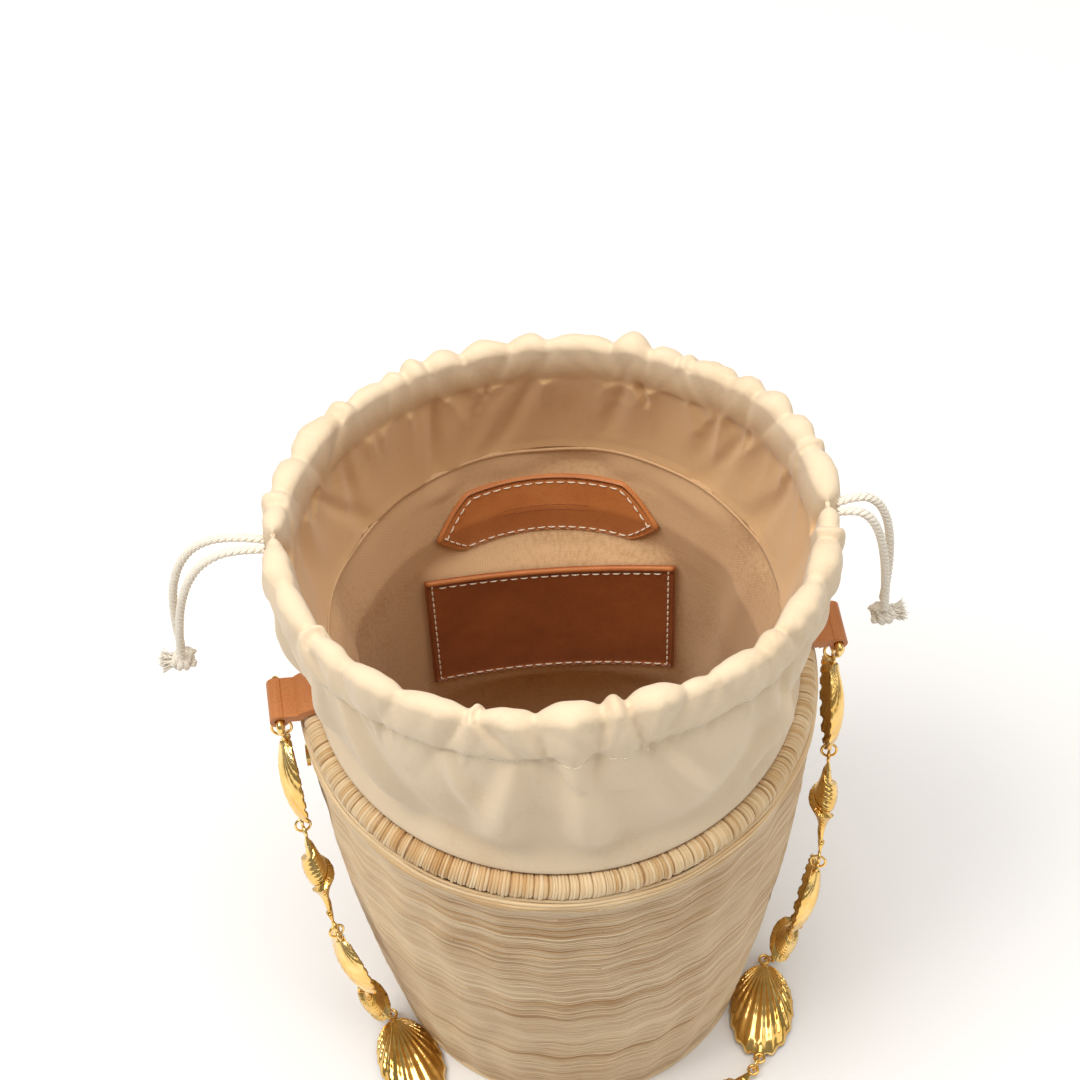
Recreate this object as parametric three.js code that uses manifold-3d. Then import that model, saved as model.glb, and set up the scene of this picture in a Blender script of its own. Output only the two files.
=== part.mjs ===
// Straw bucket bag with a gathered cotton collar, two drawstrings and a brass shell chain strap.
// Millimetres, +Z up. The origin is the centre of the basket's underside, and -Y is the front.

import * as THREE from 'three';
import { mergeVertices } from 'three/addons/utils/BufferGeometryUtils.js';
import Module from 'manifold-3d';

const wasm = await Module();
wasm.setup();

// ---------- driving dimensions ----------
const basketHeight = 200;
const footRadius = 70;
const wideRadius = 88.5; // outside of the wall under the rim
const wallThickness = 3;
const wallTop = 188;
const gap = 0.3;
const turns = 36; // segments round the basket

const coilRadius = 84; // middle of the wrapped rim
const coilThickness = 9.6;
const bandWidth = 14;
const bandThickness = 1.6;

const liningThickness = 1.2;
const liningTop = 226;
const neckRadius = 74.5; // outside of the cotton collar where it passes the rim
const collarFoot = 172;
const collarSwell = 11; // how much wider the collar is at its mouth
const mouthHeight = 288;
const mouthHalfLength = 92; // half the mouth along X
const mouthHalfWidth = 74; // half the mouth along Y
const casingHeight = 17;
const casingThickness = 7;
const clothThickness = 2.4;
const collarSteps = 36; // segments round the collar
const linerTurn = -5 * Math.PI / 180; // the liner sits a few degrees round from the tabs

const cordDiameter = 3;
const pocketWidth = 91;
const pocketHeight = 65;
const pocketTop = 181;
const pocketBend = 250;
const labelWidth = 84;
const labelHeight = 27;
const labelTop = 213;
const labelBend = 68.5;
const leatherThickness = 1.4;

const tabWidth = 16;
const tabThickness = 3.2;
const dBarX = 96.5;
const dBarZ = 199;
const dRadius = 10; // middle of the D ring's round side
const dWire = 2.8;
const rivetHeight = 163;

const shellCount = 13;
const sideShells = 4; // shells that hang down each side
const pitch = 48; // from one jump ring to the next
const ringRadius = 2.7;
const ringWire = 1;
const endRingRadius = 3.4; // the rings on the D rings
const footRingRadius = 3.2; // the rings where the strap meets the table
const eyeHole = 1.25;
const eyeWire = 1.2;
const cockleWidth = 28;
const restHeight = 3.9; // middle of a shell that lies on the table
const arcAngle = 16; // place of the end ring on the D ring, forward of its lowest point
const leans = [14, 26, 0]; // forward lean of the first three hanging shells
const frontDraw = 2; // the lying arc sits this far back, because its end eyes are beside their rings
const hangingX = [dBarX, 95, 89, 82.5]; // how far out each hanging ring is

// ---------- materials ----------
const material = (color, roughness, metalness = 0) =>
  new THREE.MeshStandardMaterial({ color, roughness, metalness });
const straw = material('#dcc199', 0.75);
const rimStraw = material('#d3b283', 0.7);
const cotton = material('#e9dcc6', 0.95);
const lining = material('#cdb592', 0.95);
const leather = material('#a9602f', 0.5);
const darkLeather = material('#8a4a22', 0.45);
const gold = material('#dfa637', 0.2, 1);
const cordCotton = material('#efe6d8', 0.9);

// ---------- helpers ----------
const part = new THREE.Group();

function add(name, geometry, finish, parent = part) {
  const mesh = new THREE.Mesh(geometry, finish);
  mesh.name = name;
  parent.add(mesh);
  return mesh;
}

function toSolid(geometry) {
  const bare = geometry.clone();
  bare.deleteAttribute('normal');
  bare.deleteAttribute('uv');
  const merged = mergeVertices(bare, 1e-4);
  const vertProperties = new Float32Array(merged.attributes.position.array);
  const triVerts = new Uint32Array(merged.index.array);
  return new wasm.Manifold(new wasm.Mesh({ numProp: 3, vertProperties, triVerts }));
}

function toGeometry(solid) {
  const { vertProperties, triVerts } = solid.getMesh();
  const geometry = new THREE.BufferGeometry();
  geometry.setAttribute('position', new THREE.BufferAttribute(vertProperties, 3));
  geometry.setIndex(new THREE.BufferAttribute(triVerts, 1));
  geometry.computeVertexNormals();
  return geometry;
}

const join = (...shapes) => toGeometry(shapes.map(toSolid).reduce((whole, next) => whole.add(next)));
const cut = (shape, ...holes) =>
  toGeometry(holes.map(toSolid).reduce((whole, next) => whole.subtract(next), toSolid(shape)));

// A ring turned round Z from a closed outline of [radius, height] points, outer side first.
function turned(outline, segments = turns) {
  const points = [...outline, outline[0]].map(([r, z]) => new THREE.Vector2(r, z));
  return new THREE.LatheGeometry(points, segments).rotateX(Math.PI / 2);
}

// A disc or a cup: the outline starts and ends on the axis.
function turnedFull(outline, segments = turns) {
  const points = outline.map(([r, z]) => new THREE.Vector2(r, z));
  return new THREE.LatheGeometry(points, segments).rotateX(Math.PI / 2);
}

// A round bar along a curve.
function bar(curve, diameter, steps, sides = 8) {
  const section = new THREE.Shape();
  section.absarc(0, 0, diameter / 2, 0, 2 * Math.PI);
  const options = { steps, curveSegments: sides / 2, bevelEnabled: false, extrudePath: curve };
  return new THREE.ExtrudeGeometry(section, options);
}

// ---------- basket ----------
// Outer radius of the woven wall at a height: a narrow foot that swells towards the rim.
const wallRadius = (z) => wideRadius - (wideRadius - footRadius) * Math.max(0, 1 - z / wallTop) ** 1.75;
const wallHeights = [0, 18, 40, 66, 96, 128, 160, wallTop];
const wallOutside = wallHeights.map((z) => [wallRadius(z), z]);
const wallInside = wallHeights.map((z) => [wallRadius(z) - wallThickness, z]).reverse();

const rivetHole = () => new THREE.CylinderGeometry(1.5, 1.5, 20, 12).rotateZ(Math.PI / 2);

function buildBasket() {
  const holes = [-1, 1].map((side) => rivetHole().translate(side * coilRadius, 0, rivetHeight));
  add('basket_wall', cut(turned([...wallOutside, ...wallInside]), ...holes), straw);
  const baseRadius = footRadius - wallThickness - gap;
  add('basket_base', turnedFull([[0, 0], [baseRadius, 0], [baseRadius + 0.2, 4], [0, 4]]), straw);
  const coil = new THREE.TorusGeometry(coilRadius, coilThickness / 2, 8, turns);
  add('rim_coil', coil.translate(0, 0, basketHeight - coilThickness / 2), rimStraw);
  const inside = wideRadius + gap;
  const bandTop = wallTop + 1;
  const band = [[inside, bandTop - bandWidth], [inside + bandThickness, bandTop - bandWidth],
    [inside + bandThickness, bandTop], [inside, bandTop]];
  add('rim_band', turned(band), rimStraw);
}

// ---------- liner and collar ----------
const smooth = (t) => t * t * (3 - 2 * t);

// Outer radius of the collar before it is drawn to an oval.
function collarRadius(z) {
  if (z <= basketHeight) return neckRadius;
  const t = (z - basketHeight) / (mouthHeight - basketHeight);
  return neckRadius + collarSwell * Math.sin(Math.min(1, t * 1.25) * Math.PI / 2);
}
const mouthRadius = neckRadius + collarSwell;

// How much a height is stretched along X and along Y: the mouth is drawn to an oval.
function ovalStretch(z) {
  const t = smooth(Math.min(1, Math.max(0, (z - basketHeight) / (mouthHeight - basketHeight))));
  return [1 + (mouthHalfLength / mouthRadius - 1) * t, 1 + (mouthHalfWidth / mouthRadius - 1) * t];
}

function drawToOval(geometry) {
  const p = geometry.attributes.position;
  for (let i = 0; i < p.count; i += 1) {
    const [stretchX, stretchY] = ovalStretch(p.getZ(i));
    p.setX(i, p.getX(i) * stretchX);
    p.setY(i, p.getY(i) * stretchY);
  }
  geometry.computeVertexNormals();
  return geometry;
}

const liner = new THREE.Group();
liner.rotation.z = linerTurn;
part.add(liner);

const casingBottom = mouthHeight - casingHeight;
const casingMiddle = mouthHeight - casingHeight / 2;
const tunnelRadius = mouthRadius - casingThickness / 2;

function buildCollar() {
  const top = mouthRadius;
  const outsideHeights = [collarFoot, 190, basketHeight, 212, 226, 248, casingBottom];
  const outside = outsideHeights.map((z) => [collarRadius(z), z]);
  const casing = [[top + 0.6, casingMiddle - 3], [top + 0.6, casingMiddle + 3],
    [top - 1.5, mouthHeight - 0.8], [top - casingThickness / 2, mouthHeight],
    [top - casingThickness + 1, mouthHeight - 1.2], [top - casingThickness - 0.4, casingMiddle]];
  const inside = outsideHeights.map((z) => [collarRadius(z) - clothThickness, z]).reverse();
  const body = drawToOval(turned([...outside, ...casing, ...inside], collarSteps));
  const tunnel = [[tunnelRadius + 2.2, casingMiddle - 4.2], [tunnelRadius + 2.2, casingMiddle + 4.2],
    [tunnelRadius - 2.2, casingMiddle + 4.2], [tunnelRadius - 2.2, casingMiddle - 4.2]];
  const holes = [drawToOval(turned(tunnel, collarSteps))];
  for (const side of [-1, 1]) {
    const slit = new THREE.BoxGeometry(14, 8, 8);
    holes.push(slit.translate(side * (mouthHalfLength + 2), 0, casingMiddle));
  }
  add('liner_collar', cut(body, ...holes), cotton, liner);
}

// Outer radius of the lining: a loose bag as wide as the neck, kept inside the wall at its foot,
// that opens out with the collar above the rim.
function liningRadius(z) {
  const besideWall = wallRadius(z) - wallThickness - 1.2;
  const neck = neckRadius - clothThickness - 2 * gap;
  return Math.min(besideWall, neck) + collarRadius(z) - neckRadius;
}

function buildLining() {
  const heights = [5, 18, 32, 47, 90, 130, 168, 190, basketHeight, 212, liningTop];
  const outside = heights.map((z) => [liningRadius(z), z]);
  const inside = heights.map((z) => [liningRadius(z) - liningThickness,
    Math.max(z, 5 + liningThickness)]);
  const outline = [[0, 5], ...outside, ...inside.reverse(), [0, 5 + liningThickness]];
  add('liner_bag', drawToOval(turnedFull(outline, collarSteps)), lining, liner);
}

// A leather piece at the back of the lining, from a flat outline of [across, height] points. It is
// bent to its own radius and touches the lining along its two ends.
function bentPanel(outline, width, bend) {
  const shape = new THREE.Shape(outline.map(([u, z]) => new THREE.Vector2(u, z)));
  const panel = new THREE.ExtrudeGeometry(shape, { depth: leatherThickness, bevelEnabled: false });
  const p = panel.attributes.position;
  for (let i = 0; i < p.count; i += 1) {
    const z = p.getY(i);
    const halfAngle = width / 2 / bend;
    const endY = Math.sqrt(panelSeat(z) ** 2 - (bend * Math.sin(halfAngle)) ** 2);
    const r = bend - leatherThickness + p.getZ(i);
    const angle = Math.PI / 2 + p.getX(i) / bend;
    p.setXYZ(i, r * Math.cos(angle), r * Math.sin(angle) + endY - bend * Math.cos(halfAngle), z);
  }
  panel.computeVertexNormals();
  return panel;
}

const panelSeat = (z) => liningRadius(z) - liningThickness - 2.6;

// Points along the top edge, then back along the bottom edge.
function panelOutline(width, topAt, bottomAt, columns = 12) {
  const across = Array.from({ length: columns + 1 }, (_, i) => -width / 2 + (width * i) / columns);
  const bottom = across.map((u) => [u, bottomAt(u / (width / 2))]);
  const top = across.map((u) => [u, topAt(u / (width / 2))]).reverse();
  return [...bottom, ...top].filter(([u, z], i, all) => {
    const [nu, nz] = all[(i + 1) % all.length];
    return Math.hypot(nu - u, nz - z) > 0.01;
  });
}

function buildPanels() {
  const pocketMouth = (u) => pocketTop - 2 * (1 - u * u);
  const pocket = panelOutline(pocketWidth, pocketMouth, () => pocketTop - pocketHeight);
  add('card_pocket', bentPanel(pocket, pocketWidth, pocketBend), darkLeather, liner);
  const taper = (u, from) => Math.max(0, (Math.abs(u) - from) / (1 - from));
  const upper = (u) => labelTop - 0.5 * labelHeight * taper(u, 0.68) ** 1.3;
  const lower = (u) => labelTop - labelHeight + 0.44 * labelHeight * taper(u, 0.74) ** 1.3;
  const label = panelOutline(labelWidth, upper, lower, 20);
  add('label_patch', bentPanel(label, labelWidth, labelBend), leather, liner);
}

// ---------- drawstrings ----------
// Each cord runs round inside the casing; both its ends leave at one side and meet in a knot.
const exitX = mouthHalfLength - casingThickness / 2 + 3.2;

// Route of one hanging strand: out of the slit, over, and down to the knot.
const strandRoute = [[0, 0], [5, 0.6], [10, -0.6], [14.5, -5.5], [18, -14], [20.5, -25], [22, -36],
  [23, -47], [23.6, -57]];
const strandLean = { left: 1.45, right: 0.8 };
const strandSpread = 1.9; // half the gap between the two strands of a pair
const knotSize = 13;

function strandPoints(side, row) {
  const direction = side === 'left' ? -1 : 1;
  const lean = strandLean[side];
  return strandRoute.map(([out, drop], i) => {
    const along = i / (strandRoute.length - 1);
    const belly = strandSpread + 2.4 * Math.sin(Math.PI * along) * (row > 0 ? 1 : 0.4);
    const bow = row > 0 ? 3 * Math.sin(Math.PI * along) : 0;
    return new THREE.Vector3(direction * (exitX + out * lean + bow), row * belly, casingMiddle + drop);
  });
}

function buildDrawstrings() {
  for (const side of ['left', 'right']) {
    const direction = side === 'left' ? -1 : 1;
    for (const [label, row] of [['front', -1], ['back', 1]]) {
      const route = new THREE.CatmullRomCurve3(strandPoints(side, row));
      add(`drawstring_${side}_${label}`, bar(route, cordDiameter, 12), cordCotton, liner);
    }
    const last = strandRoute[strandRoute.length - 1];
    const knot = new THREE.SphereGeometry(knotSize / 2, 10, 8).scale(0.85, 0.95, 1.1);
    const knotX = direction * (exitX + last[0] * strandLean[side]);
    const knotZ = casingMiddle + last[1] - knotSize * 0.55 - 1.4;
    add(`drawstring_${side}_knot`, knot.translate(knotX, 0, knotZ), cordCotton, liner);
  }
  const steps = collarSteps;
  const [stretchX, stretchY] = ovalStretch(casingMiddle);
  for (const [name, height] of [['casing_cord_upper', 1.9], ['casing_cord_lower', -1.9]]) {
    const gapAngle = 0.06;
    const start = name === 'casing_cord_upper' ? 0 : Math.PI;
    const points = Array.from({ length: steps + 1 }, (_, i) => {
      const angle = start + gapAngle + (2 * Math.PI - 2 * gapAngle) * i / steps;
      return new THREE.Vector3(tunnelRadius * stretchX * Math.cos(angle),
        tunnelRadius * stretchY * Math.sin(angle), casingMiddle + height);
    });
    const route = new THREE.CatmullRomCurve3(points);
    add(name, bar(route, cordDiameter, steps), cordCotton, liner);
  }
}

// ---------- tabs, rivets and D rings ----------
const coilZ = basketHeight - coilThickness / 2;
const strapInner = coilThickness / 2 + 0.8;
const strapOuter = strapInner + tabThickness;
const strapFoot = 83.6; // outer face of the strap's riveted end, inside the basket

// A disc of a rivet, between two places along X.
function rivetDisc(radius, from, to) {
  const disc = new THREE.CylinderGeometry(radius, radius, to - from, 14).rotateZ(Math.PI / 2);
  return disc.translate((from + to) / 2, 0, rivetHeight);
}

function buildTab(side, name) {
  const innerHead = strapFoot - tabThickness - gap;
  const outerHead = wideRadius + gap;
  const shape = new THREE.Shape();
  const overAngle = 0.62; // where the strap leaves the coil on its outside
  shape.absarc(coilRadius, coilZ, strapOuter, overAngle, Math.PI, false);
  shape.lineTo(coilRadius - strapOuter, wallTop - 6);
  shape.lineTo(strapFoot - tabThickness, 172);
  shape.lineTo(strapFoot - tabThickness, rivetHeight - 7);
  shape.lineTo(strapFoot, rivetHeight - 7);
  shape.lineTo(strapFoot, 174);
  shape.lineTo(coilRadius - strapInner, wallTop - 4);
  shape.absarc(coilRadius, coilZ, strapInner, Math.PI, overAngle, true);
  const strap = new THREE.ExtrudeGeometry(shape, { depth: tabWidth, bevelEnabled: false,
    curveSegments: 10 });
  const along = (geometry) => geometry.rotateX(Math.PI / 2).translate(0, tabWidth / 2, 0);
  const eye = new THREE.CylinderGeometry(3.3, 3.3, tabWidth, 16).translate(dBarX, 0, dBarZ);
  const hole = new THREE.CylinderGeometry(1.75, 1.75, tabWidth + 2, 16).translate(dBarX, 0, dBarZ);
  const bridge = new THREE.BoxGeometry(5.4, tabWidth, tabThickness)
    .rotateY(-0.1).translate(dBarX - 4.4, 0, dBarZ + 0.9);
  const tab = cut(join(along(strap), eye, bridge), hole,
    rivetHole().translate(coilRadius, 0, rivetHeight));
  add(`tab_${name}`, side > 0 ? tab : tab.rotateZ(Math.PI), leather);
  const rivet = join(
    rivetDisc(1.2, innerHead, outerHead),
    rivetDisc(3.4, innerHead - 1.2, innerHead),
    rivetDisc(4, outerHead, outerHead + 1.4));
  add(`rivet_${name}`, side > 0 ? rivet : rivet.rotateZ(Math.PI), gold);
}

class HalfCircle extends THREE.Curve {
  getPoint(t, target = new THREE.Vector3()) {
    const angle = Math.PI * t;
    return target.set(0, dRadius * Math.cos(angle), -dRadius * Math.sin(angle));
  }
}

function buildDRing(side, name) {
  const round = bar(new HalfCircle(), dWire, 12);
  const straight = new THREE.CylinderGeometry(dWire / 2, dWire / 2, 2 * dRadius, 8);
  const corners = [-1, 1].map((end) => new THREE.SphereGeometry(dWire / 2 * 1.06, 8, 6)
    .translate(0, end * dRadius, 0));
  const ring = join(straight, round, ...corners).translate(side * dBarX, 0, dBarZ);
  add(`d_ring_${name}`, ring, gold);
}

// ---------- shell chain ----------
const holeFromRing = ringRadius; // ring centre to the eye's hole on a jump ring
const shellLength = pitch - 2 * holeFromRing; // hole to hole

// A flat eye at each end of a shell; the shell's own frame has +Z towards its upper hole,
// +X out of its face, and its origin half-way between the holes.
function eyes() {
  const radius = eyeHole + eyeWire / 2;
  return [-1, 1].map((end) => new THREE.TorusGeometry(radius, eyeWire / 2, 5, 8)
    .rotateY(Math.PI / 2).translate(0, 0, end * shellLength / 2));
}

// A ribbed fan: a shallow cup that is narrow at its hinge end and wide at its edge.
function cockle() {
  const half = shellLength / 2 - eyeHole - eyeWire * 0.6;
  const cup = [[0, 4.4], [6, 3.8], [11, 1.6], [14, -2.2], [12.7, -2.1], [9.6, 0.9], [5, 2.6], [0, 3.2]];
  const shell = turnedFull(cup.reverse(), 12).rotateY(Math.PI / 2);
  const p = shell.attributes.position;
  for (let i = 0; i < p.count; i += 1) {
    const along = p.getZ(i) / 14;
    const width = 1 - 0.34 * smooth(Math.max(0, along));
    p.setY(i, p.getY(i) * width * cockleWidth / 28);
    p.setZ(i, along * half);
  }
  const bridges = [-1, 1].map((end) => new THREE.BoxGeometry(2.6, 2.6, 5.2)
    .translate(-0.9, 0, end * (half - 1.1)));
  return join(shell, ...bridges, ...eyes());
}

// A closed spiral: a slim spindle with its widest part above the middle.
function whelk() {
  const half = shellLength / 2 - eyeHole - eyeWire * 0.6;
  const spindle = [[0, -1], [1.5, -0.97], [2.4, -0.6], [5.2, 0], [6.2, 0.2], [5.6, 0.42], [2.6, 0.78],
    [1.3, 0.98], [0, 1]];
  const body = turnedFull(spindle.map(([r, t]) => [r, t * half]), 8);
  return join(body.scale(0.55, 1, 1), ...eyes());
}

// Ring centres from the left D ring, round the front on the table, to the right D ring.
function ringCentres() {
  const radians = (degrees) => degrees * Math.PI / 180;
  const wireInside = endRingRadius - ringWire / 2 - dWire / 2 - 0.15;
  const reach = dRadius + wireInside;
  const side = [new THREE.Vector3(dBarX, -reach * Math.sin(radians(arcAngle)),
    dBarZ - reach * Math.cos(radians(arcAngle)))];
  const lengths = [pitch - ringRadius + endRingRadius, pitch, pitch, pitch];
  const frontX = pitch / (2 * Math.sin(Math.PI / 10));
  const outs = [...hangingX.slice(1), frontX];
  for (let i = 0; i < sideShells; i += 1) {
    const from = side[i];
    const across = outs[i] - from.x;
    const fall = Math.sqrt(lengths[i] ** 2 - across ** 2);
    const last = i === sideShells - 1;
    const lean = last ? -Math.acos((from.z - restHeight) / fall) : radians(leans[i]);
    side.push(new THREE.Vector3(outs[i], from.y - fall * Math.sin(lean),
      from.z - fall * Math.cos(lean)));
  }
  const foot = side[sideShells];
  const frontShells = shellCount - 2 * sideShells;
  const front = [];
  for (let i = 1; i < frontShells; i += 1) {
    const angle = Math.PI + Math.PI * i / frontShells;
    front.push(new THREE.Vector3(frontX * Math.cos(angle),
      foot.y + frontDraw + frontX * Math.sin(angle), restHeight));
  }
  const left = side.map((p) => new THREE.Vector3(-p.x, p.y, p.z));
  return [...left, ...front, ...side.reverse()];
}

// A frame with +Z up the chain and +X along the wanted face direction.
function chainFrame(along, face) {
  const out = face.clone().addScaledVector(along, -face.dot(along)).normalize();
  return new THREE.Matrix4().makeBasis(out, along.clone().cross(out), along);
}

const towards = (from, to) => to.clone().sub(from).normalize();

// Where the eye of a shell sits on a jump ring. step is 1 for the shell after the ring and -1
// for the one before. At a foot ring the strap turns from hanging to lying on the table, and
// the lying shell's eye sits on the ring's inner side.
function eyePlace(centres, index, step) {
  const centre = centres[index];
  const isEnd = index === 0 || index === shellCount;
  if (isEnd) return centre.clone().addScaledVector(towards(centre, centres[index + step]), endRingRadius);
  if (!isFoot(index)) {
    const along = towards(centres[index - 1], centres[index + 1]);
    return centre.clone().addScaledVector(along, step * ringRadius);
  }
  const hanging = centres[index + step].z > centre.z + pitch / 2;
  const inward = new THREE.Vector3(-Math.sign(centre.x), 0, 0);
  const way = hanging ? towards(centre, centres[index + step]) : inward;
  return centre.clone().addScaledVector(way, footRingRadius);
}

const isFoot = (index) => index === sideShells || index === shellCount - sideShells;
const two = (number) => String(number).padStart(2, '0');

function buildShells(centres) {
  const shapes = { cockle: cockle(), whelk: whelk() };
  for (let i = 0; i < shellCount; i += 1) {
    const onTable = i >= sideShells && i < shellCount - sideShells;
    const ends = [eyePlace(centres, i, 1), eyePlace(centres, i + 1, -1)];
    if (i > shellCount / 2) ends.reverse();
    const middle = ends[0].clone().add(ends[1]).multiplyScalar(0.5);
    const outward = new THREE.Vector3(middle.x, middle.y, 0).normalize();
    const face = onTable ? new THREE.Vector3(0, 0, 1) : outward;
    const kind = i % 2 === 0 ? 'cockle' : 'whelk';
    const shell = add(`shell_${two(i + 1)}_${kind}`, shapes[kind], gold);
    shell.applyMatrix4(chainFrame(towards(ends[1], ends[0]), face));
    shell.position.copy(middle);
  }
}

function buildRings(centres) {
  for (let i = 0; i <= shellCount; i += 1) {
    const isEnd = i === 0 || i === shellCount;
    const centre = centres[i];
    const inFront = i > sideShells && i < shellCount - sideShells;
    const radius = isEnd ? endRingRadius : isFoot(i) ? footRingRadius : ringRadius;
    const before = centres[isFoot(i) && i > sideShells ? i : Math.max(i - 1, 0)];
    const after = centres[isFoot(i) && i === sideShells ? i : Math.min(i + 1, shellCount)];
    const across = isFoot(i) || isEnd ? new THREE.Vector3(1, 0, 0)
      : new THREE.Vector3(centre.x, centre.y, 0);
    const face = inFront ? new THREE.Vector3(0, 0, 1) : across;
    const ring = new THREE.TorusGeometry(radius, ringWire / 2, 4, 10).rotateX(Math.PI / 2);
    const jump = add(`jump_ring_${two(i + 1)}`, ring, gold);
    jump.applyMatrix4(chainFrame(towards(before, after), face));
    jump.position.copy(centre);
  }
}

// ---------- assembly ----------
buildBasket();
buildLining();
buildCollar();
buildPanels();
buildDrawstrings();
for (const [side, name] of [[-1, 'left'], [1, 'right']]) {
  buildTab(side, name);
  buildDRing(side, name);
}
const centres = ringCentres();
buildShells(centres);
buildRings(centres);

export default part;
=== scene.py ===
"""Looks of the straw bucket bag. All lengths are in metres, in the frame that the CAD parts use."""

import math

import bpy
import numpy as np
from mathutils import Matrix, Vector


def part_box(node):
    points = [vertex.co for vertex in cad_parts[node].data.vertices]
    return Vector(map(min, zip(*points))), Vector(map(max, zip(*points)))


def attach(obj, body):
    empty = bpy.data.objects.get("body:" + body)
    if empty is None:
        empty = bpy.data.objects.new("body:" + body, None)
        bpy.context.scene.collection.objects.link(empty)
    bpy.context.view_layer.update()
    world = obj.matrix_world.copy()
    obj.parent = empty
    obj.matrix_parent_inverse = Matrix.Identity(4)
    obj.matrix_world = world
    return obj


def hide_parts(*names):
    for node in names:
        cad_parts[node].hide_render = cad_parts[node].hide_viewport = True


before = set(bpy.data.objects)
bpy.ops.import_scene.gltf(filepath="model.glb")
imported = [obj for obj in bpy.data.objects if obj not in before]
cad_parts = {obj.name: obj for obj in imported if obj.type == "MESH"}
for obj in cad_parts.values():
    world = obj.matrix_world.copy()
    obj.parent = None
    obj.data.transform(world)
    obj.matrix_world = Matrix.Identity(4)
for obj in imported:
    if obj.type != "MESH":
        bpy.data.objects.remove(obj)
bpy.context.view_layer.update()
MM = 0.001
TAU = 2 * math.pi
rng = np.random.default_rng(7)

# ---------- driving dimensions, as in the part's source ----------
BASKET_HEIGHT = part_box("rim_coil")[1][2]
WIDE_RADIUS = 88.5 * MM
FOOT_RADIUS = 70 * MM
WALL_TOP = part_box("basket_wall")[1][2]
WALL_THICKNESS = 3 * MM
COIL_RADIUS = 84 * MM
COIL_HALF = 4.8 * MM
NECK_RADIUS = 74.5 * MM
COLLAR_SWELL = 11 * MM
MOUTH_RADIUS = NECK_RADIUS + COLLAR_SWELL
MOUTH_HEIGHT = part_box("liner_collar")[1][2]
MOUTH_HALF_LENGTH = 92 * MM
MOUTH_HALF_WIDTH = 74 * MM
CASING_HEIGHT = 17 * MM
CASING_THICKNESS = 7 * MM
COLLAR_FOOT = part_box("liner_collar")[0][2]
CASING_MIDDLE = MOUTH_HEIGHT - CASING_HEIGHT / 2
STITCH_LINE = MOUTH_HEIGHT - 21 * MM
FULLNESS = 1.15  # how much longer the collar's cloth is cut than the mouth is round
MOUTH_DEEPER = 1.035  # the open mouth spreads a little front to back
MOUTH_DROOP = 1.5 * MM
CLOTH = 2.4 * MM
LINING_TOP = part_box("liner_bag")[1][2]
LINER_TURN = math.radians(-5)
CORD = 3 * MM
POCKET_WIDTH = 91 * MM
POCKET_BEND = 250 * MM
LABEL_WIDTH = 84 * MM
LABEL_BEND = 68.5 * MM
POCKET_LOW, POCKET_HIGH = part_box("card_pocket")[0][2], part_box("card_pocket")[1][2]
LABEL_LOW, LABEL_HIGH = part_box("label_patch")[0][2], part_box("label_patch")[1][2]
LEATHER = 1.4 * MM
D_BAR_X, D_BAR_Z = 96.5 * MM, 199 * MM
D_RADIUS, D_WIRE = 10 * MM, 2.8 * MM
SHELLS, SIDE_SHELLS = 13, 4
PITCH = 48 * MM
RING, RING_WIRE = 2.7 * MM, 1 * MM
END_RING, FOOT_RING = 3.4 * MM, 3.2 * MM
EYE_HOLE, EYE_WIRE = 1.25 * MM, 1.2 * MM
REST_HEIGHT = 3.9 * MM
ARC_ANGLE = math.radians(16)
LEANS = [math.radians(a) for a in (14, 26, 0)]
HANGING_X = [D_BAR_X, 95 * MM, 89 * MM, 82.5 * MM]
FRONT_DRAW = 2 * MM


# ---------- camera ----------
def make_camera():
    """Looks down into the mouth from the front, a little from the left."""
    target = np.array([0, 0, 0.194])
    distance = 0.95
    lens, film = 91.833, 36  # both in millimetres
    elevation, azimuth, roll = math.radians(57), math.radians(-6.5), math.radians(2.5)
    back = np.array([math.sin(azimuth) * math.cos(elevation),
                     -math.cos(azimuth) * math.cos(elevation), math.sin(elevation)])
    ahead = -back
    right = np.cross(ahead, [0, 0, 1])
    right /= np.linalg.norm(right)
    up = np.cross(right, ahead)
    yaw, pitch = math.radians(0.2496), math.radians(-2.7463)
    tilted = ahead * math.cos(pitch) - up * math.sin(pitch)
    up = up * math.cos(pitch) + ahead * math.sin(pitch)
    aimed = tilted * math.cos(yaw) - right * math.sin(yaw)
    right = right * math.cos(yaw) + tilted * math.sin(yaw)
    side = right * math.cos(roll) - up * math.sin(roll)
    top = up * math.cos(roll) + right * math.sin(roll)
    data = bpy.data.cameras.new("camera")
    data.sensor_width = film
    data.lens = lens
    camera = bpy.data.objects.new("camera", data)
    bpy.context.collection.objects.link(camera)
    matrix = Matrix([list(side), list(top), list(-aimed)]).transposed().to_4x4()
    matrix.translation = Vector(target + back * distance)
    camera.matrix_world = matrix
    bpy.context.scene.camera = camera


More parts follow.
